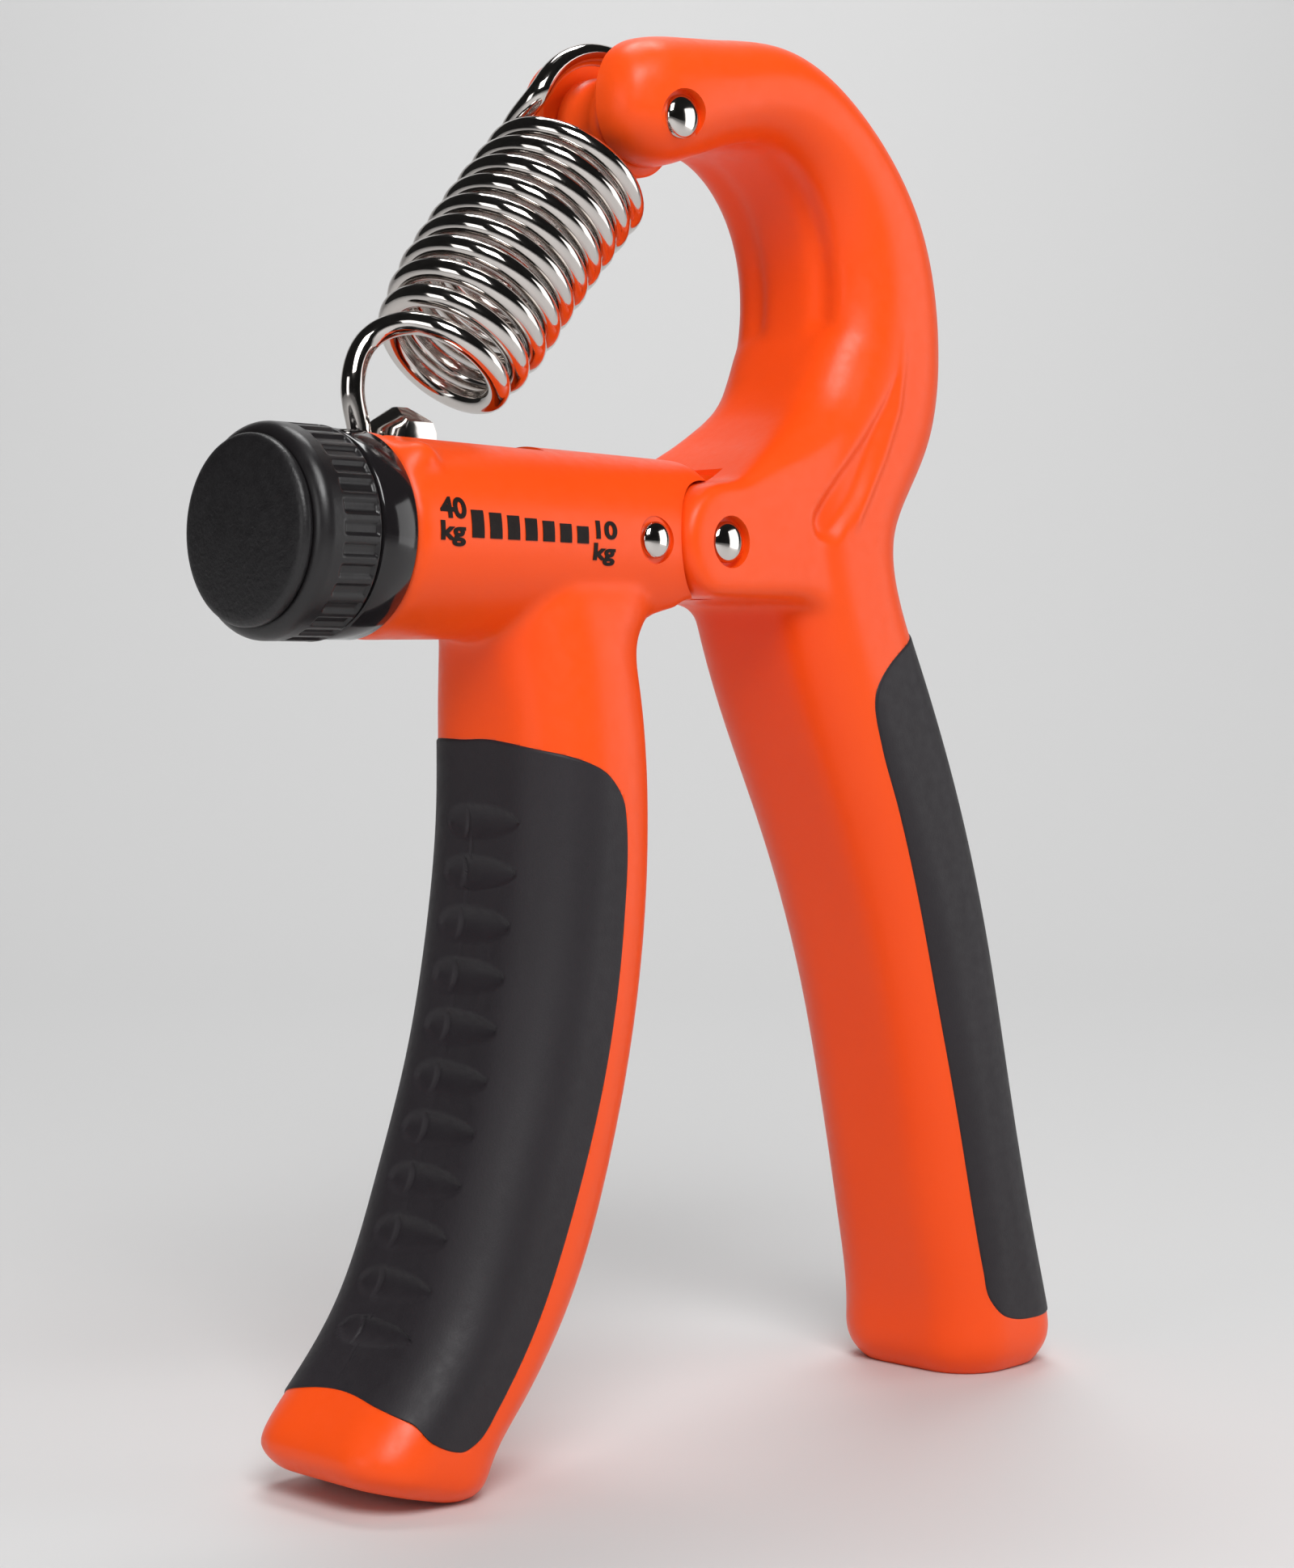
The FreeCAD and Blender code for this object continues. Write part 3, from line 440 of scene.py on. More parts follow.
def pad_outline(table, outer, side_view, columns):
    """The pad's closed edge on the skin: the side view's edge, its mirror image, and smooth
    cubic runs between their points at even spacing. The far corner of a pad on the inner side
    lies a little higher."""
    along, girth = onto_skin(table, outer, side_view)
    girth[[0, -1]] = 0.0
    half = np.stack([along, girth], -1)
    loop = np.concatenate([half, half[-2:0:-1] * (1, -1)])
    ring = np.concatenate([loop[-3:], loop, loop[:4]])
    knots = np.concatenate([[0.0], np.cumsum(np.hypot(*np.diff(ring, axis=0).T))])
    at = np.linspace(knots[3], knots[3 + len(loop)], columns, endpoint=False)
    low = np.clip(np.searchsorted(knots, at, side="right") - 1, 1, len(ring) - 3)
    slope = (ring[2:] - ring[:-2]) / (knots[2:] - knots[:-2])[:, None]
    slope = np.concatenate([slope[:1], slope, slope[-1:]])
    step = (knots[low + 1] - knots[low])[:, None]
    t = (at[:, None] - knots[low][:, None]) / step
    lift = t * t * (3 - 2 * t)
    edge = (
        ring[low] * (1 - lift)
        + ring[low + 1] * lift
        + (t - 2 * t**2 + t**3) * step * slope[low]
        + (t**3 - t**2) * step * slope[low + 1]
    )
    if outer < 0:
        edge[:, 0] -= CORNER_LIFT * smooth(-edge[:, 1], 1, 9) * smooth(-edge[:, 0], -30, -23)
    return edge


def pad_rings(table, outer, side_view, rim, rings, columns=640):
    """Rings on the skin, from a pad's edge to the spine along its middle: the first at the
    insets of rim, then at even shares. Given as distance along, girth and inset."""
    edge = pad_outline(table, outer, side_view, columns)
    low, high = edge[:, 0].min(), edge[:, 0].max()
    reach = 0.8 * np.abs(edge[:, 1]).max()
    spine = np.stack([np.clip(edge[:, 0], low + reach, high - reach), 0 * edge[:, 0]], -1)
    span = np.hypot(*(edge - spine).T)
    first = 1.2 * rim[-1] / span
    even = first + (1 - first) * np.linspace(0, 1, rings)[:, None]
    share = np.concatenate([rim[:, None] / span, even])
    place = edge + (spine - edge) * share[..., None]
    return place[..., 0], place[..., 1], share * span


PAD_DEPTH = 0.9


def pad(name, table, outer, side_view, relief=None, proud=0.12, roll=0.35, rings=64):
    """A moulded-on pad: its rings lie proud of the grip, with a relief, and roll over by a
    quarter circle at the edge. The underside is the same rings at an even depth."""
    rim = roll * (1 - np.cos(np.linspace(0, np.pi / 2, 5)))
    along, girth, inset = pad_rings(table, outer, side_view, rim, rings)
    height = proud - roll + np.sqrt(roll**2 - (roll - np.clip(inset, 0, roll)) ** 2)
    if relief:
        height = height + relief(along, girth) * np.clip(inset - roll, 0, 1)
    below, beside, deep = pad_rings(table, outer, side_view, rim[:1] + 0.01, 8)
    along, girth = np.concatenate([below[::-1], along]), np.concatenate([beside[::-1], girth])
    height = np.concatenate([0 * deep - PAD_DEPTH, height])
    point, facing = skin(table, outer, along, girth)
    return shell(name, point + facing * height[..., None])


BED_INSET, BED_PLAY = 0.25, 0.05


def pad_bed(table, outer, side_view):
    """What the moulding leaves free under a pad: the pad's rings from a little inside its edge,
    once above the skin and once just above the pad's underside."""
    along, girth, _ = pad_rings(table, outer, side_view, np.array([BED_INSET]), 24)
    point, facing = skin(table, outer, along, girth)
    foot = point[::-1] - facing[::-1] * (PAD_DEPTH - BED_PLAY)
    return shell("bed", np.concatenate([foot, point + facing]))


RIPPLE_FIRST, RIPPLE_PITCH, RIPPLES = 24.1, 4.62, 11
LOBE_HALF, LOBE_FRONT, LOBE_BACK, DEPTH_FRONT, DEPTH_BACK = 1.55, 6.8, 2.5, 0.68, 0.42
PARTING, LINE_STEP, LINE_DEPTH, LINE_HALF = -1.9, 0.95, 0.1, 0.17


def ripples(along, girth):
    """Scooped lobes at an even pitch down the grip. Behind the parting line each is half an
    ellipse, and in front it is deeper and runs out to a point. The line is a narrow groove that
    steps to and fro between the lobes."""
    turn = (along - RIPPLE_FIRST) / RIPPLE_PITCH
    count = np.clip(np.round(turn), 0, RIPPLES - 1)
    off = np.abs(turn - count) * RIPPLE_PITCH
    across = girth - PARTING
    front, back = np.clip(across / LOBE_FRONT, 0, 1), np.clip(-across / LOBE_BACK, 0, 1)
    half = LOBE_HALF * np.where(across > 0, np.sqrt(1 - front**2), np.sqrt(1 - back**2)) + 0.02
    fading = np.clip(0.55 + 0.15 * count, 0, 1) * np.clip(1.75 - 0.1 * count, 0, 1)
    deep = np.where(across > 0, DEPTH_FRONT - 0.25 * front, DEPTH_BACK) * fading
    lobe = deep * np.clip(1 - (off / half) ** 2, 0, 1) ** 0.8 * (half > 0.03)
    step = LINE_STEP * smooth(off, 1.3, 1.5)
    line = LINE_DEPTH * np.exp(-(((across - step) / LINE_HALF) ** 2))
    ends = RIPPLE_FIRST + RIPPLE_PITCH * np.array([-0.5, RIPPLES + 0.6])
    return -lobe - line * smooth(along, ends[0], ends[0] + 2) * smooth(-along, -ends[1], -ends[1] + 1)


finger_pad = pad("pad_finger", FINGER_GRIP, -1, FINGER_PAD_SIDE, ripples)
work(barrel_handle, "DIFFERENCE", pad_bed(FINGER_GRIP, -1, FINGER_PAD_SIDE))
rubber = finish_of(
    "satin_rubber",
    moulded,
    {
        "Colour": (0.017, 0.014, 0.017, 1),
        "Drift colour": (0.022, 0.018, 0.022, 1),
        "Drift scale": 90.0,
        "Gloss from": 0.50,
        "Gloss to": 0.60,
        "Grain scale": 5200.0,
        "Grain height": 0.000012,
    },
    Specular_IOR_Level=0.38,
)
dress(finger_pad, rubber, "barrel_handle", ["finger_pad"])

# Lever: ears, arch, fork and palm grip in one orange moulding. The ears straddle the barrel's
# tongue, and the arch carries the fork that holds the spring's upper hook.
FORK_PIN = (-6.05, 0, 38.9)
PALM_GRIP = np.array(
    [
        (-11.95, 40.6, 90, 2.8, 10.6, 1.2),
        (-11.35, 40.6, 90, 6.0, 13.6, 2.5),
        (-10.05, 40.7, 90, 9.2, 16.2, 3.9),
        (-7.95, 40.8, 90, 11.3, 18.2, 4.8),
        (-6.05, 40.9, 88, 12.1, 19.0, 5.3),
        (1.0, 42.2, 83, 11.1, 19.4, 5.2),
        (9.4, 43.3, 74, 9.7, 19.6, 4.5),
        (17.6, 39.6, 42, 10.2, 19.6, 4.8),
        (23.9, 31.5, 12, 13.6, 19.8, 6.0),
        (25.5, 22.0, -3, 15.8, 20.0, 6.4),
        (23.3, 12.6, -14, 17.5, 20.0, 6.4),
        (18.2, 3.2, -12, 16.8, 20.0, 6.0),
        (19.3, -5.5, 3, 16.0, 20.0, 6.0),
        (22.4, -13.0, 13, 16.3, 20.0, 6.2),
        (28.0, -25.0, 16, 16.0, 20.0, 6.4),
        (33.8, -41.0, 12, 15.0, 20.0, 6.4),
        (37.3, -55.0, 9, 14.7, 20.0, 6.4),
        (40.8, -70.0, 6, 15.4, 20.0, 6.4),
        (42.6, -78.6, 3, 16.4, 20.0, 6.0),
        (42.9, -82.0, 2, 16.0, 19.2, 5.8),
        (43.0, -83.9, 1, 13.4, 16.6, 5.0),
    ]
)
EAR_RADIUS, EAR_ROLL, EAR_HALF = 5.65, 1.2, 9.4
turn = np.linspace(0, 2.6, 40)
# The ear's outline in side view, and how far its rim is rolled over: x, z, roll
EAR = np.concatenate(
    [
        np.stack([-EAR_RADIUS * np.sin(turn), EAR_RADIUS * np.cos(turn), EAR_ROLL + 0 * turn], -1),
        np.linspace((-1.9, -5.2, EAR_ROLL), (9.4, -5.2, 1.6), 24),
        [(11.6, -5.6, 1.9), (13.4, -6.7, 2.2), (15.2, -8.8, 1.8), (16.6, -11.4, 1.2)],
        [(21.0, -2.0, 1.2), (24.5, 10.0, 1.2), (26.0, 20.0, 1.2), (25.5, 24.0, 1.2), (23.0, 25.0, 1.2)],
        [(20.8, 24.2, 2.8), (18.6, 22.6, 4.6), (17.1, 20.6, 5.2), (16.0, 18.3, 5.6), (15.0, 16.1, 5.6)],
        [(13.9, 14.6, 5.4), (12.5, 13.2, 4.8), (10.5, 11.7, 4.2), (8.7, 10.4, 3.6), (6.8, 9.2, 2.8)],
        [(5.0, 8.0, 2.2), (3.4, 6.9, 1.6), (2.0, 6.0, 1.3)],
    ]
)


def slab(outline, half, count=400, soft=6):
    """A flat outline carried across the handle, its rims drawn in by a quarter circle of each
    point's own roll. Points are spaced evenly and averaged with their neighbours first."""
    ring = np.concatenate([outline, outline[:1]])
    knots = np.concatenate([[0.0], np.cumsum(np.hypot(*np.diff(ring[:, :2], axis=0).T))])
    at = np.linspace(0, knots[-1], count, endpoint=False)
    line = np.stack([np.interp(at, knots, ring[:, k]) for k in range(3)], -1)
    for _ in range(soft):
        line = (np.roll(line, 1, 0) + 2 * line + np.roll(line, -1, 0)) / 4
    way = np.roll(line[:, :2], -1, 0) - np.roll(line[:, :2], 1, 0)
    way /= np.hypot(*way.T)[:, None]
    inward = np.stack([-way[:, 1], way[:, 0]], -1)
    turn = np.linspace(0, np.pi / 2, 7)[:, None]
    inset = line[:, 2] * np.concatenate([1 - np.sin(turn), 1 - np.cos(turn)])
    level = np.concatenate(
        [line[:, 2] * (1 - np.cos(turn)) - half, half - line[:, 2] * (1 - np.sin(turn))]
    )
    plan = line[:, :2] + inward * inset[..., None]
    grid = np.stack([plan[..., 0], level, plan[..., 1]], -1)
    ends = [np.broadcast_to(grid[k].mean(0), grid[k].shape)[None] for k in (0, -1)]
    return np.concatenate([ends[0], grid, ends[1]])


COVE_DEPTH, COVE_MIDDLE, COVE_HALF = 0.85, 4.4, 1.25


def coves(along, across):
    """Two shallow coves on the arch's inner side, bell-shaped across and deepest low down."""
    deep = COVE_DEPTH * smooth(along, 15, 48) * smooth(-along, -70, -61)
    return -deep * np.exp(-(((across - COVE_MIDDLE) / COVE_HALF) ** 2))


def near_line(points, line):
    """Distance of points from a line of straight stretches, and how far along it they lie."""
    best, reach = np.full(len(points), FAR_OFF), np.zeros(len(points))
    for number, (start, end) in enumerate(zip(line, line[1:])):
        share = np.clip((points - start) @ (end - start) / ((end - start) @ (end - start)), 0, 1)
        off = np.hypot(*(points - start - share[:, None] * (end - start)).T)
        reach = np.where(off < best, (number + share) / (len(line) - 1), reach)
        best = np.minimum(off, best)
    return best, reach


# Lines of the scoop and of the rib in side view: x, z
SCOOP = np.array([(13.4, 2.4), (16.2, 6.1), (19.2, 10.4), (21.6, 14.2), (23.4, 17.9)])
SCOOP_HALF, SCOOP_DEPTH = [2.1, 2.0, 1.3, 0.8, 0.4], 0.9
RIB = np.array([(16.1, 1.2), (18.1, 4.4), (20.9, 9.1), (23.0, 13.7), (24.0, 18.9), (24.4, 24.5)])
RIB_HALF, RIB_HEIGHT = 0.5, 0.3


def carve(piece):
    """A leaf-shaped scoop and a thin rib beside it on each flat side of the arch, pressed in or
    out along y where the surface faces the side."""
    mesh = piece.data
    place, facing = np.empty(3 * len(mesh.vertices)), np.empty(3 * len(mesh.vertices))
    mesh.vertices.foreach_get("co", place)
    mesh.vertices.foreach_get("normal", facing)
    place, facing = place.reshape(-1, 3) * 1000 - PIVOT, facing.reshape(-1, 3)
    spot = place[:, [0, 2]]
    off, reach = near_line(spot, SCOOP)
    half = np.interp(reach, np.linspace(0, 1, len(SCOOP)), SCOOP_HALF)
    rise = -SCOOP_DEPTH * np.sqrt(1 - reach) * smooth(half - off, -0.2, 1.3)
    off, reach = near_line(spot, RIB)
    fading = smooth(reach, -0.01, 0.12) * smooth(-reach, -1, -0.55)
    rise += RIB_HEIGHT * np.exp(-((off / RIB_HALF) ** 2)) * fading
    side = smooth(np.abs(facing[:, 1]), 0.5, 0.85) * np.sign(place[:, 1])
    place[:, 1] += side * rise
    mesh.vertices.foreach_set("co", ((place + PIVOT) / 1000).ravel())
    mesh.update()


lever = shell(
    "handle_lever",
    moulding(PALM_GRIP, 1, rows=560, columns=160, relief=coves),
    slab(EAR, EAR_HALF),
)
melt(lever, VOXEL, passes=0)
melt(lever, FINE_VOXEL, passes=13)
carve(lever)
work(
    lever,
    "DIFFERENCE",
    shell("web_disc", turned("y", rod(-4.4, 4.4, EAR_ROOM))),
    shell("web_top", block((-12, 4), (-4.41, 4.41), (0, 12))),
    shell("web_left", block((-12, 0), (-4.42, 4.42), (-12, 0.2))),
    shell("fork_slot", block((-24.65, 2.6), (-3.5, 3.5), (20.3, 57.5))),
    *seats(0, 0, 2.45, 8.5),
    *seats(FORK_PIN[0], FORK_PIN[2], 2.5, 8.6),
    shell("floor_cut", block((20, 70), (-20, 20), (-90, FLOOR))),
)
lever.data.shade_smooth()
lever.data.set_sharp_from_angle(angle=SHARP)
dress(lever, orange_plastic, "lever", ["lever_body"])

# Palm pad: the same soft rubber moulded over the lever's outer side. It is plain, since the
# heel of the palm rests on it.
PALM_PAD_SIDE = np.array(
    [
        (29.6, -6.6),
        (25.6, -8.8),
        (21.8, -11.2),
        (19.8, -14.4),
        (21.0, -19.2),
        (23.7, -25.5),
        (29.3, -41.7),
        (33.4, -57.0),
        (37.2, -73.0),
        (38.0, -75.8),
        (40.0, -77.8),
        (44.0, -78.6),
        (50.6, -78.4),
    ]
)
palm_pad = pad("pad_palm", PALM_GRIP, 1, PALM_PAD_SIDE)
work(lever, "DIFFERENCE", pad_bed(PALM_GRIP, 1, PALM_PAD_SIDE))
dress(palm_pad, rubber, "lever", ["palm_pad"])

# Rivets: bright chromed pins with a dome pressed on at each end. They hold the handles together
# at the pivot, the spring's bush in the fork, and the tail bearing in the barrel.
chrome = finish_of(
    "polished_chrome",
    moulded,
    {
        "Colour": (0.70, 0.66, 0.63, 1),
        "Drift colour": (0.63, 0.59, 0.56, 1),
        "Drift scale": 400.0,
        "Gloss from": 0.06,
        "Gloss to": 0.12,
        "Grain scale": 2500.0,
        "Grain height": 0.000001,
    },
    Metallic=1.0,
)


RIM_FOOT, RIM_TOP, DOME_RISE = 0.9, 0.65, 0.85


def rivet(name, x, z, radius, half):
    """A rivet across the handle: a round shank with a dome at each end, a quarter of an ellipse
    carried round over a short upright rim."""
    angle = np.linspace(0, np.pi / 2, 14)
    dome = np.stack([half - RIM_TOP + DOME_RISE * np.cos(angle), radius * np.sin(angle)], -1)
    top = np.concatenate([dome, [(half - RIM_FOOT, radius)]])
    profile = np.concatenate([top, top[::-1] * (-1, 1)])
    return shell(name, turned("y", profile, (x, 0, z), columns=72))


for name, spot, node_name, body in (
    ("rivet_pivot", (0, 0, 1.95, 9.4), "pivot_pin", "lever"),
    ("rivet_fork", (FORK_PIN[0], FORK_PIN[2], 2.0, 9.5), "spring_pin", "lever"),
    ("rivet_barrel", (*TAIL_RIVET, 1.7, 9.1), "barrel_pin", "barrel_handle"),
):
    dress(rivet(name, *spot), chrome, body, [node_name])

# Knob: a moulded ring of black plastic with a smooth lip and 32 flutes, pressed on the spindle,
# and a crowned cap with a fine grain that closes its outer end.
KNOB_LEFT, KNOB_RIGHT, KNOB_RADIUS, LIP, FLUTES = -48.65, -42.15, 9.3, 1.3, 32
FLUTE_DEPTH, FLUTE_LEFT, FLUTE_RIGHT, SKIRT_FROM = 0.3, -46.3, -42.45, 9.1


def ringed(profile):
    """A lathe profile that closes on itself: its first point again at the end."""
    return [*profile, profile[0]]


def knob_ring():
    """The knob's lathe form, drawn in by its flutes: a smooth square wave round the axis times a
    window along it."""
    turn = np.linspace(0, np.pi / 2, 9)
    lip = np.stack([KNOB_LEFT + LIP * (1 - np.sin(turn)), KNOB_RADIUS - LIP * (1 - np.cos(turn))], -1)
    skirt = np.stack([np.linspace(KNOB_LEFT + LIP, KNOB_RIGHT - 0.25, 45), np.full(45, KNOB_RADIUS)], -1)
    inner = [(KNOB_RIGHT, 9.05), (KNOB_RIGHT, 3.05), (-45.45, 3.05), (-45.45, 7.2), (-48.4, 7.2)]
    profile = ringed([*lip[::-1], *skirt[1:], *inner])
    grid = turned("x", profile, (0, 0, AXIS), columns=12 * FLUTES)
    across, high = grid[..., 1], grid[..., 2] - AXIS
    round_it = np.arctan2(high, across) * FLUTES / (2 * np.pi)
    trough = smooth(-np.abs(round_it - np.round(round_it)), -0.36, -0.2)
    window = smooth(grid[..., 0], FLUTE_LEFT, FLUTE_LEFT + 0.3)
    window = window * smooth(-grid[..., 0], -FLUTE_RIGHT, 0.15 - FLUTE_RIGHT)
    outside = np.hypot(across, high) > SKIRT_FROM
    pull = 1 - FLUTE_DEPTH / KNOB_RADIUS * trough * window * outside
    return np.stack([grid[..., 0], across * pull, AXIS + high * pull], -1)


black_plastic = finish_of(
    "black_plastic",
    moulded,
    {
        "Colour": (0.009, 0.008, 0.009, 1),
        "Drift colour": (0.014, 0.012, 0.013, 1),
        "Gloss from": 0.30,
        "Gloss to": 0.40,
        "Grain scale": 3200.0,
        "Grain height": 0.000008,
    },
)
grained_plastic = finish_of(
    "grained_plastic",
    moulded,
    {
        "Colour": (0.009, 0.008, 0.009, 1),
        "Drift colour": (0.013, 0.012, 0.013, 1),
        "Gloss from": 0.36,
        "Gloss to": 0.48,
        "Grain scale": 2400.0,
        "Grain height": 0.00004,
    },
)
dress(shell("knob_ring", knob_ring()), black_plastic, "knob", ["knob_body"])
# The cap's lathe profile: the crowned face, its rounded rim and the neck inside the ring
CAP = [(-50.15 + 0.35 * (r / 7.5) ** 2, r) for r in np.linspace(0, 7.5, 12)]
CAP += [(-49.72, 7.85), (-49.55, 8.08), (-49.3, 8.2), (-48.85, 8.2), (-48.68, 8.05), (-48.68, 6.6)]
CAP += [(-47.8, 6.6), (-47.8, 0)]
cap = shell("knob_cap_disc", turned("x", CAP, (0, 0, AXIS), columns=160))
dress(cap, grained_plastic, "knob", ["knob_cap"])

# Collar: a ring of glossy black plastic pressed over the barrel's neck, its edges broken. It
# fills the gap between barrel and knob.
gloss_plastic = finish_of(
    "gloss_plastic",
    moulded,
    {
        "Colour": (0.010, 0.009, 0.010, 1),
        "Drift colour": (0.014, 0.012, 0.013, 1),
        "Gloss from": 0.08,
        "Gloss to": 0.14,
        "Grain scale": 900.0,
        "Grain height": 0.000002,
    },
)
COLLAR = [(-41.8, 7.65), (-41.8, 8.8), (-41.72, 9.0), (-41.5, 9.1), (-38.25, 9.1), (-38.03, 8.95)]
COLLAR += [(-38.03, 7.65)]
collar = shell("collar_ring", turned("x", ringed(COLLAR), (0, 0, AXIS), columns=160))
dress(collar, gloss_plastic, "barrel_handle", ["barrel_collar"])

# Spindle: a steel screw with a one-millimetre thread, fixed in the knob. It is turned down at
# the tail, where it runs in the tail bearing.
steel = finish_of(
    "turned_steel",
    moulded,
    {
        "Colour": (0.60, 0.59, 0.57, 1),
        "Drift colour": (0.50, 0.49, 0.48, 1),
        "Drift scale": 600.0,
        "Gloss from": 0.22,
        "Gloss to": 0.34,
        "Grain scale": 4000.0,
        "Grain height": 0.000003,
    },
    Metallic=1.0,
)


SCREW_LEFT, SCREW_RIGHT, SCREW_RADIUS, THREAD_DEPTH = -47.45, -13.79, 3.0, 0.42


def thread():
    """A lathe form whose radius falls and rises once a pitch along the axis and once a turn
    round it, between plain ends. The pitch is one millimetre."""
    run = np.arange(SCREW_LEFT, SCREW_RIGHT, 0.125)
    grid = turned("x", np.stack([run, np.full(len(run), SCREW_RADIUS)], -1), columns=32)
    turn = np.arctan2(grid[..., 2], grid[..., 1]) / (2 * np.pi)
    phase = grid[..., 0] - turn
    notch = THREAD_DEPTH * (1 - 2 * np.abs(phase - np.round(phase)))
    cut_here = smooth(grid[..., 0], -42, -41.6) * smooth(-grid[..., 0], 14.4, 14.9)
    grid[..., 1:] *= (1 - cut_here * notch / SCREW_RADIUS)[..., None]
    tail = turned("x", [(-13.8, 2), (-11.4, 2), (-11.2, 1.8), (-11.2, 0)], columns=32)
    head = turned("x", [(SCREW_LEFT, 0)], columns=32)
    return np.concatenate([head, grid, tail]) + (0, 0, AXIS)


dress(shell("screw_spindle", thread()), steel, "knob", ["spindle"])

# Travelling nut: a chromed hexagon with turned corners, ground flat on two sides. Its ridge
# stands up through the barrel's slot, which keeps it from turning on the spindle.
NUT_LEFT, NUT_RIGHT, RIDGE = -34.3, -30.7, 11.6
hexagon = turned("x", rod(NUT_LEFT, NUT_RIGHT, RIDGE), (0, 0, AXIS), columns=6, first=np.pi / 6)
nut = shell("nut_travelling", hexagon)
ROUND_OFF = [(NUT_LEFT, 9.5), (NUT_LEFT + 0.5, 10.6), (NUT_LEFT + 1.2, 11.4), (NUT_RIGHT - 1.2, 11.4)]
ROUND_OFF += [(NUT_RIGHT - 0.5, 10.6), (NUT_RIGHT, 9.5)]
ROUND_OFF = [(NUT_LEFT - 0.01, 0), *ROUND_OFF, (NUT_RIGHT + 0.01, 0)]
work(nut, "INTERSECT", shell("corners", turned("x", ROUND_OFF, (0, 0, AXIS), columns=128)))
work(nut, "INTERSECT", shell("flats", block((-40, -20), (-2.85, 2.85), (AXIS, 20))))
disc = shell("disc", turned("x", rod(NUT_LEFT + 0.01, NUT_RIGHT - 0.01, 5.95), (0, 0, AXIS)))
work(nut, "UNION", disc)
work(nut, "DIFFERENCE", shell("hole", turned("x", rod(-40, -20, 3.05), (0, 0, AXIS))))
edges = nut.modifiers.new("Broken edges", "BEVEL")
edges.width, edges.segments, edges.limit_method = 0.0002, 3, "ANGLE"
settle(nut)
nut.data.set_sharp_from_angle(angle=np.radians(30))
dress(nut, chrome, "nut", ["travelling_nut"])

# Spring bush: a moulded roller on the fork's rivet, in the orange of the handles. The spring's
# hook lies in its groove.
# Half of the roller's lathe profile, from its bore to the groove: distance across, radius
BUSH = [(2.95, 2.06), (2.95, 4.7), (2.75, 4.9), (1.5, 4.9), (1.3, 4.75)]
BUSH += [(-y, radius) for y, radius in BUSH[::-1]]
dress(
    shell("bush_roller", turned("y", ringed(BUSH), FORK_PIN)),
    orange_plastic,
    "bush",
    ["spring_bush"],
)

# Spring: one chromed wire. It starts as an eye round the spindle, winds into the coil and leaves
# it as a hook over the bush. It stretches between the two when the handles close.
COIL_FOOT, COIL_RADIUS, COIL_NARROW, COIL_PITCH = np.array([-28.1, 0, 14.8]), 6.85, 1.4, 2.62
COIL_TURNS, COIL_WIDENS, COIL_BOW, COIL_TILT = 10, 0.35, 0.55, np.radians(49.5)
WINDING = np.array([np.cos(COIL_TILT), 0, np.sin(COIL_TILT)])
UPPER = np.array([-np.sin(COIL_TILT), 0, np.cos(COIL_TILT)])
EYE, EYE_RADIUS = np.array([-35.6, 0, AXIS]), 4.25
HOOK, HOOK_RADIUS = np.array(FORK_PIN) - 2.9 * WINDING, 8.8
WIRE_RADIUS = 1.06


def winding(turn):
    """The coil: a circle whose middle moves along the axis by one pitch a turn. Zero is the
    upper side and 90 the front. The first third widens from a narrow foot, and the axis bows
    upwards by half a sine wave."""
    share = np.asarray(turn, float)[:, None] / 360 / COIL_TURNS
    round_it = 2 * np.pi * COIL_TURNS * share
    radius = COIL_RADIUS - COIL_NARROW * np.clip(1 - share / COIL_WIDENS, 0, 1) ** 2
    out = UPPER * np.cos(round_it) + (0, -1, 0) * np.sin(round_it)
    axis = WINDING * COIL_PITCH * COIL_TURNS * share + UPPER * COIL_BOW * np.sin(np.pi * share)
    return COIL_FOOT + axis + out * radius


def eye(turn):
    """The lower eye: a circle round the spindle. Zero is its top and 90 its front."""
    round_it = np.radians(turn)[:, None]
    return EYE + EYE_RADIUS * ((0, -1, 0) * np.sin(round_it) + (0, 0, 1) * np.cos(round_it))


def hook(turn):
    """The upper hook: a circle over the bush, its angle from +x towards +z."""
    round_it = np.radians(turn)[:, None]
    return HOOK + HOOK_RADIUS * ((1, 0, 0) * np.cos(round_it) + (0, 0, 1) * np.sin(round_it))


def bridge(start, leave, end, arrive, count=16):
    """Points between two runs: the cubic that leaves and arrives in their directions."""
    span = np.linalg.norm(end - start)
    leave, arrive = leave / np.linalg.norm(leave) * span, arrive / np.linalg.norm(arrive) * span
    t = np.linspace(0, 1, count + 2)[1:-1, None]
    lift = t * t * (3 - 2 * t)
    bent = (t - 2 * t**2 + t**3) * leave + (t**3 - t**2) * arrive
    return start * (1 - lift) + end * lift + bent


def wire(line, radius, sides=20):
    """A round wire along a line of points: at each one a circle across the line, carried on
    from the one before with no twist, and rounded off at both ends."""
    way = np.gradient(line, axis=0)
    way /= np.linalg.norm(way, axis=1)[:, None]
    across = np.empty_like(line)
    last = np.cross(way[0], (0.3, 1, 0.2))
    for k, heading in enumerate(way):
        last = last - heading * (last @ heading)
        across[k] = last = last / np.linalg.norm(last)
    turn = np.linspace(0, 2 * np.pi, sides, endpoint=False)[:, None]
    ring = across[:, None] * np.cos(turn) + np.cross(way, across)[:, None] * np.sin(turn)
    body = line[:, None] + radius * ring
    nose = np.radians([90, 60, 30])[:, None, None]
    ahead, narrow = 0.4 * radius * np.sin(nose), radius * np.cos(nose)
    first = line[0] - way[0] * ahead + ring[0] * narrow
    last = line[-1] + way[-1] * ahead[::-1] + ring[-1] * narrow[::-1]
    return np.concatenate([first, body, last])


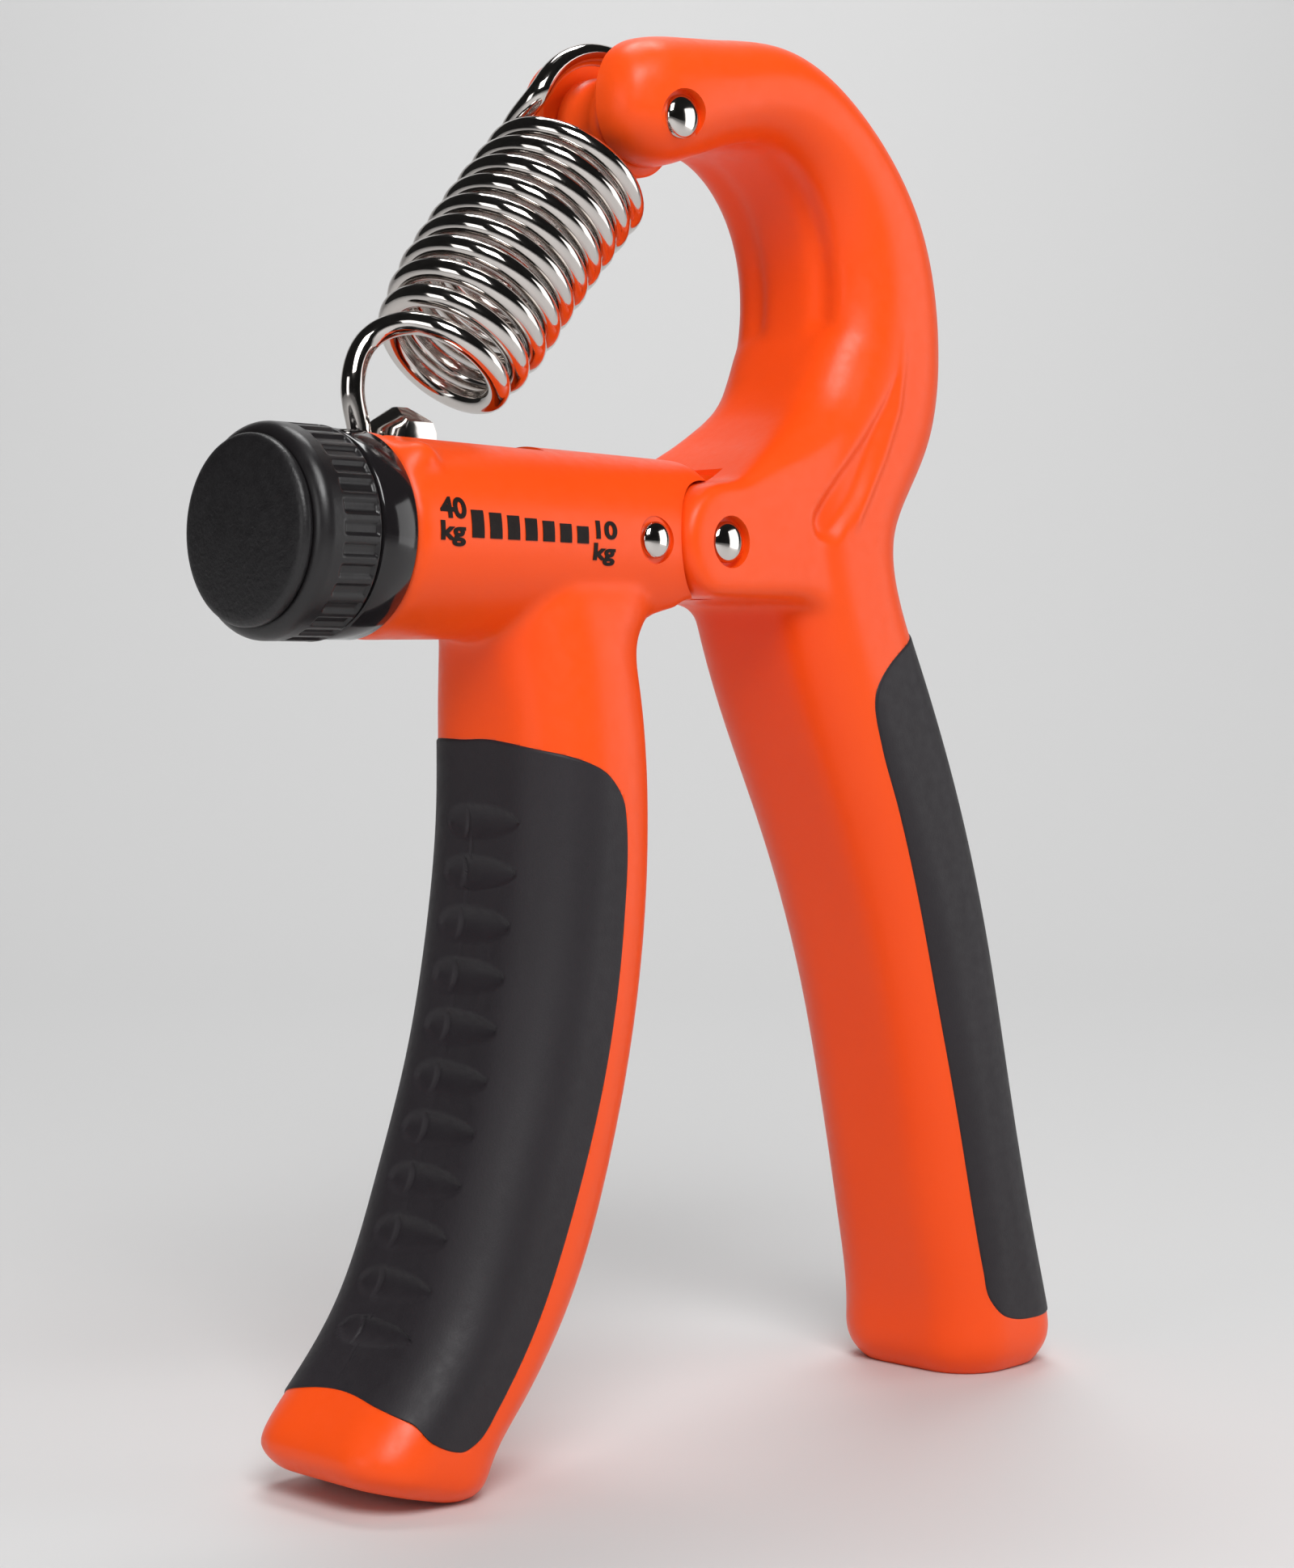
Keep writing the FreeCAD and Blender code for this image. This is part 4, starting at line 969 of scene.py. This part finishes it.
# The turns of eye, coil and hook, and three points with their headings on the shank between them
eye_run, hook_run = eye(np.arange(285, 19, -7.5)), hook(np.arange(146, 29, -5.8))
coil_run = winding(np.arange(25, 360 * COIL_TURNS - 49, 5))
shank_foot = EYE + (0, 1.5, 7.6)
shank = np.array([shank_foot, shank_foot + (-0.9, 0.1, 5.6), coil_run[0] + (-2.7, 3.7, -1.0)])
shank_way = np.array([(0, 0, 1), (0.04, -0.03, 1), (0.62, -0.42, 0.66)])
route = np.concatenate(
    [
        eye_run,
        bridge(eye_run[-1], eye_run[-1] - eye_run[-2], shank[0], shank_way[0]),
        bridge(shank[0], shank_way[0], shank[1], shank_way[1]),
        bridge(shank[1], shank_way[1], shank[2], shank_way[2]),
        bridge(shank[2], shank_way[2], coil_run[0], coil_run[1] - coil_run[0]),
        coil_run,
        bridge(coil_run[-1], coil_run[-1] - coil_run[-2], hook_run[0], hook_run[1] - hook_run[0]),
        hook_run,
    ]
)
spring = shell("spring_wire", wire(route, WIRE_RADIUS))
dress(spring, chrome)
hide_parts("spring")
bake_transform(spring)

# Printed scale: black ink stamped on the barrel's front, seven bars that shrink from left to
# right, with a plain figure and its unit at each end.
SCALE_LEFT, BAR_PITCH, BAR_WIDTH, BARS = -32.0, 2.11, 1.42, 7
INK_HALF, INK_PROUD, STRIP = 0.03, 0.01, 0.2
# Each figure with its left, right, foot and top on the sheet
FIGURES = [
    ("40", -35.5, -32.5, 0.85, 2.78),
    ("kg", -35.6, -32.75, -1.55, 0.65),
    ("10", -16.95, -14.3, -0.3, 1.44),
    ("kg", -17.25, -14.5, -2.77, -0.66),
]


def printed_scale():
    """The marks are drawn flat, cut into narrow strips, and wrapped on the barrel: height on
    the sheet becomes angle round the axis, and thickness becomes radius."""
    flat = bmesh.new()
    for number in range(BARS):
        share = number / (BARS - 1)
        left, top, foot = SCALE_LEFT + BAR_PITCH * number, 1.71 - 0.91 * share, -0.73 - 0.05 * share
        bar = bmesh.ops.create_cube(flat, size=1)["verts"]
        bmesh.ops.scale(flat, vec=(BAR_WIDTH, top - foot, 2 * INK_HALF), verts=bar)
        bmesh.ops.translate(flat, vec=(left + BAR_WIDTH / 2, (top + foot) / 2, 0), verts=bar)
    for text, left, right, foot, top in FIGURES:
        figure = bpy.data.curves.new("figure", "FONT")
        figure.body, figure.extrude, figure.offset, figure.resolution_u = text, INK_HALF, 0.035, 6
        holder = bpy.data.objects.new("figure", figure)
        bpy.context.scene.collection.objects.link(holder)
        graph = bpy.context.evaluated_depsgraph_get()
        mesh = bpy.data.meshes.new_from_object(holder.evaluated_get(graph))
        bpy.data.objects.remove(holder)
        spot = np.empty(3 * len(mesh.vertices))
        mesh.vertices.foreach_get("co", spot)
        spot = spot.reshape(-1, 3)
        low, high = spot.min(0), spot.max(0)
        spot[:, :2] = (left, foot) + (spot - low)[:, :2] * (right - left, top - foot) / (high - low)[:2]
        mesh.vertices.foreach_set("co", spot.ravel())
        flat.from_mesh(mesh)
    for height in np.arange(-2.6, 2.7, STRIP):
        parts = flat.verts[:] + flat.edges[:] + flat.faces[:]
        bmesh.ops.bisect_plane(flat, geom=parts, plane_co=(0, height, 0), plane_no=(0, 1, 0))
    bmesh.ops.remove_doubles(flat, verts=flat.verts, dist=1e-4)
    for vertex in flat.verts:
        x, round_it = vertex.co.x, (vertex.co.y - AXIS) / TAPER[0][1]
        radius = np.interp(x, *zip(*TAPER)) + INK_PROUD + vertex.co.z
        place = (x, -radius * np.cos(round_it), AXIS + radius * np.sin(round_it))
        vertex.co = (PIVOT + place) / 1000
    bmesh.ops.recalc_face_normals(flat, faces=flat.faces)
    mesh = bpy.data.meshes.new("printed_scale")
    flat.to_mesh(mesh)
    flat.free()
    marks = bpy.data.objects.new("printed_scale", mesh)
    bpy.context.scene.collection.objects.link(marks)
    return marks


ink = finish_of(
    "black_ink",
    moulded,
    {
        "Colour": (0.010, 0.008, 0.008, 1),
        "Drift colour": (0.020, 0.013, 0.011, 1),
        "Drift scale": 1500.0,
        "Gloss from": 0.42,
        "Gloss to": 0.55,
    },
    Specular_IOR_Level=0.12,
)
dress(printed_scale(), ink, "barrel_handle")

# Washers, sleeve, clip, knob nut and bearings: plain turned and stamped parts, hidden but for
# their edges. They keep their CAD solids, in steel or in a pale moulded bearing plastic.
bearing_plastic = finish_of(
    "bearing_plastic",
    moulded,
    {
        "Colour": (0.30, 0.29, 0.27, 1),
        "Drift colour": (0.24, 0.23, 0.22, 1),
        "Gloss from": 0.38,
        "Gloss to": 0.5,
    },
)
for label, material in {
    "pivot_washers": steel,
    "fork_washers": steel,
    "pivot_sleeve": steel,
    "knob_nut": steel,
    "thrust_washer": steel,
    "retaining_clip": steel,
    "head_bearing": bearing_plastic,
    "tail_bearing": bearing_plastic,
}.items():
    dress(nodes[label], material)

# Studio: a pale floor that sweeps up behind, soft lamps, and a dark screen all round that only
# glossy surfaces reflect, as they reflect the dark studio in the photograph.
VIEW, BESIDE = np.array([0.7071, 0.7071, 0]), np.array([0.7071, -0.7071, 0])
bend = np.radians(np.linspace(0, 90, 24))
sweep = [(-3.0, 0.0), *zip(0.42 + 0.6 * np.sin(bend), 0.6 - 0.6 * np.cos(bend)), (1.02, 3.5)]


def sheet_of(name, rows):
    """An open grid of points as a mesh, each point joined to the next in its row and column."""
    rows = np.asarray(rows, float)
    count, columns = rows.shape[:2]
    i, j = np.mgrid[0 : count - 1, 0 : columns - 1]
    near = i * columns + j
    faces = np.stack([near, near + 1, near + columns + 1, near + columns], -1).reshape(-1, 4)
    mesh = bpy.data.meshes.new(name)
    mesh.from_pydata(rows.reshape(-1, 3).tolist(), [], faces.tolist())
    mesh.shade_smooth()
    made = bpy.data.objects.new(name, mesh)
    bpy.context.scene.collection.objects.link(made)
    return made


floor = sheet_of(
    "floor", [[VIEW * run + BESIDE * side + (0, 0, high) for side in (-4, 4)] for run, high in sweep]
)
floor.data.materials.append(
    finish_of("floor_paint", Base_Color=(0.66, 0.66, 0.66, 1), Roughness=0.6)
)
DOME = 1.6
around, climb = np.radians(np.linspace(0, 360, 73)), np.radians(np.linspace(1, 85, 22))
screen = sheet_of(
    "screen",
    [
        DOME * np.stack([reach * np.cos(around), reach * np.sin(around), high + 0 * around], -1)
        for reach, high in zip(np.cos(climb), np.sin(climb))
    ],
)
screen.data.materials.append(finish_of("screen_cloth", Base_Color=(0.03, 0.03, 0.03, 1), Roughness=1.0))
screen.visible_camera = screen.visible_diffuse = screen.visible_shadow = False

world = bpy.data.worlds.new("studio")
bpy.context.scene.world = world
world.use_nodes = True
air = world.node_tree
ray = node(air, "LightPath")
level = node(air, "MapRange", {"Value": ray.outputs["Is Camera Ray"], 3: 0.26, 4: 0.80})
air.links.new(level.outputs[0], air.nodes["Background"].inputs["Strength"])
air.nodes["Background"].inputs["Color"].default_value = (1, 1, 1, 1)

for name, spot, aim, size, power in (
    ("key", (-0.28, -0.38, 0.48), (0, 0, 0.08), 0.30, 3.0),
    ("fill", (0.42, -0.34, 0.16), (0, 0, 0.07), 0.34, 0.65),
    ("left", (-0.52, -0.02, 0.16), (0, 0, 0.09), 0.20, 0.25),
    ("backdrop_lamp", (0.30, 0.30, 1.10), (0.64, 0.64, 0.15), 0.50, 6.5),
):
    lamp = bpy.data.objects.new(name, bpy.data.lights.new(name, "AREA"))
    bpy.context.scene.collection.objects.link(lamp)
    lamp.data.size = size
    lamp.data.energy = power
    lamp.location = spot
    way = np.array(aim) - np.array(spot)
    lamp.rotation_euler = (
        np.pi / 2 + np.arctan2(way[2], np.hypot(way[0], way[1])),
        0,
        np.arctan2(-way[0], way[1]),
    )

# The camera stands where the photograph's perspective puts it
camera = bpy.data.objects.new("camera", bpy.data.cameras.new("camera"))
bpy.context.scene.collection.objects.link(camera)
camera.location = (-0.20828, -0.20614, 0.06965)
camera.rotation_euler = (np.pi / 2, 0, np.radians(-45))
camera.data.sensor_width = 36
camera.data.lens = 70.55
camera.data.shift_y = -0.0575
camera.data.clip_start = 0.01
bpy.context.scene.camera = camera
bpy.context.scene.view_settings.view_transform = "Standard"
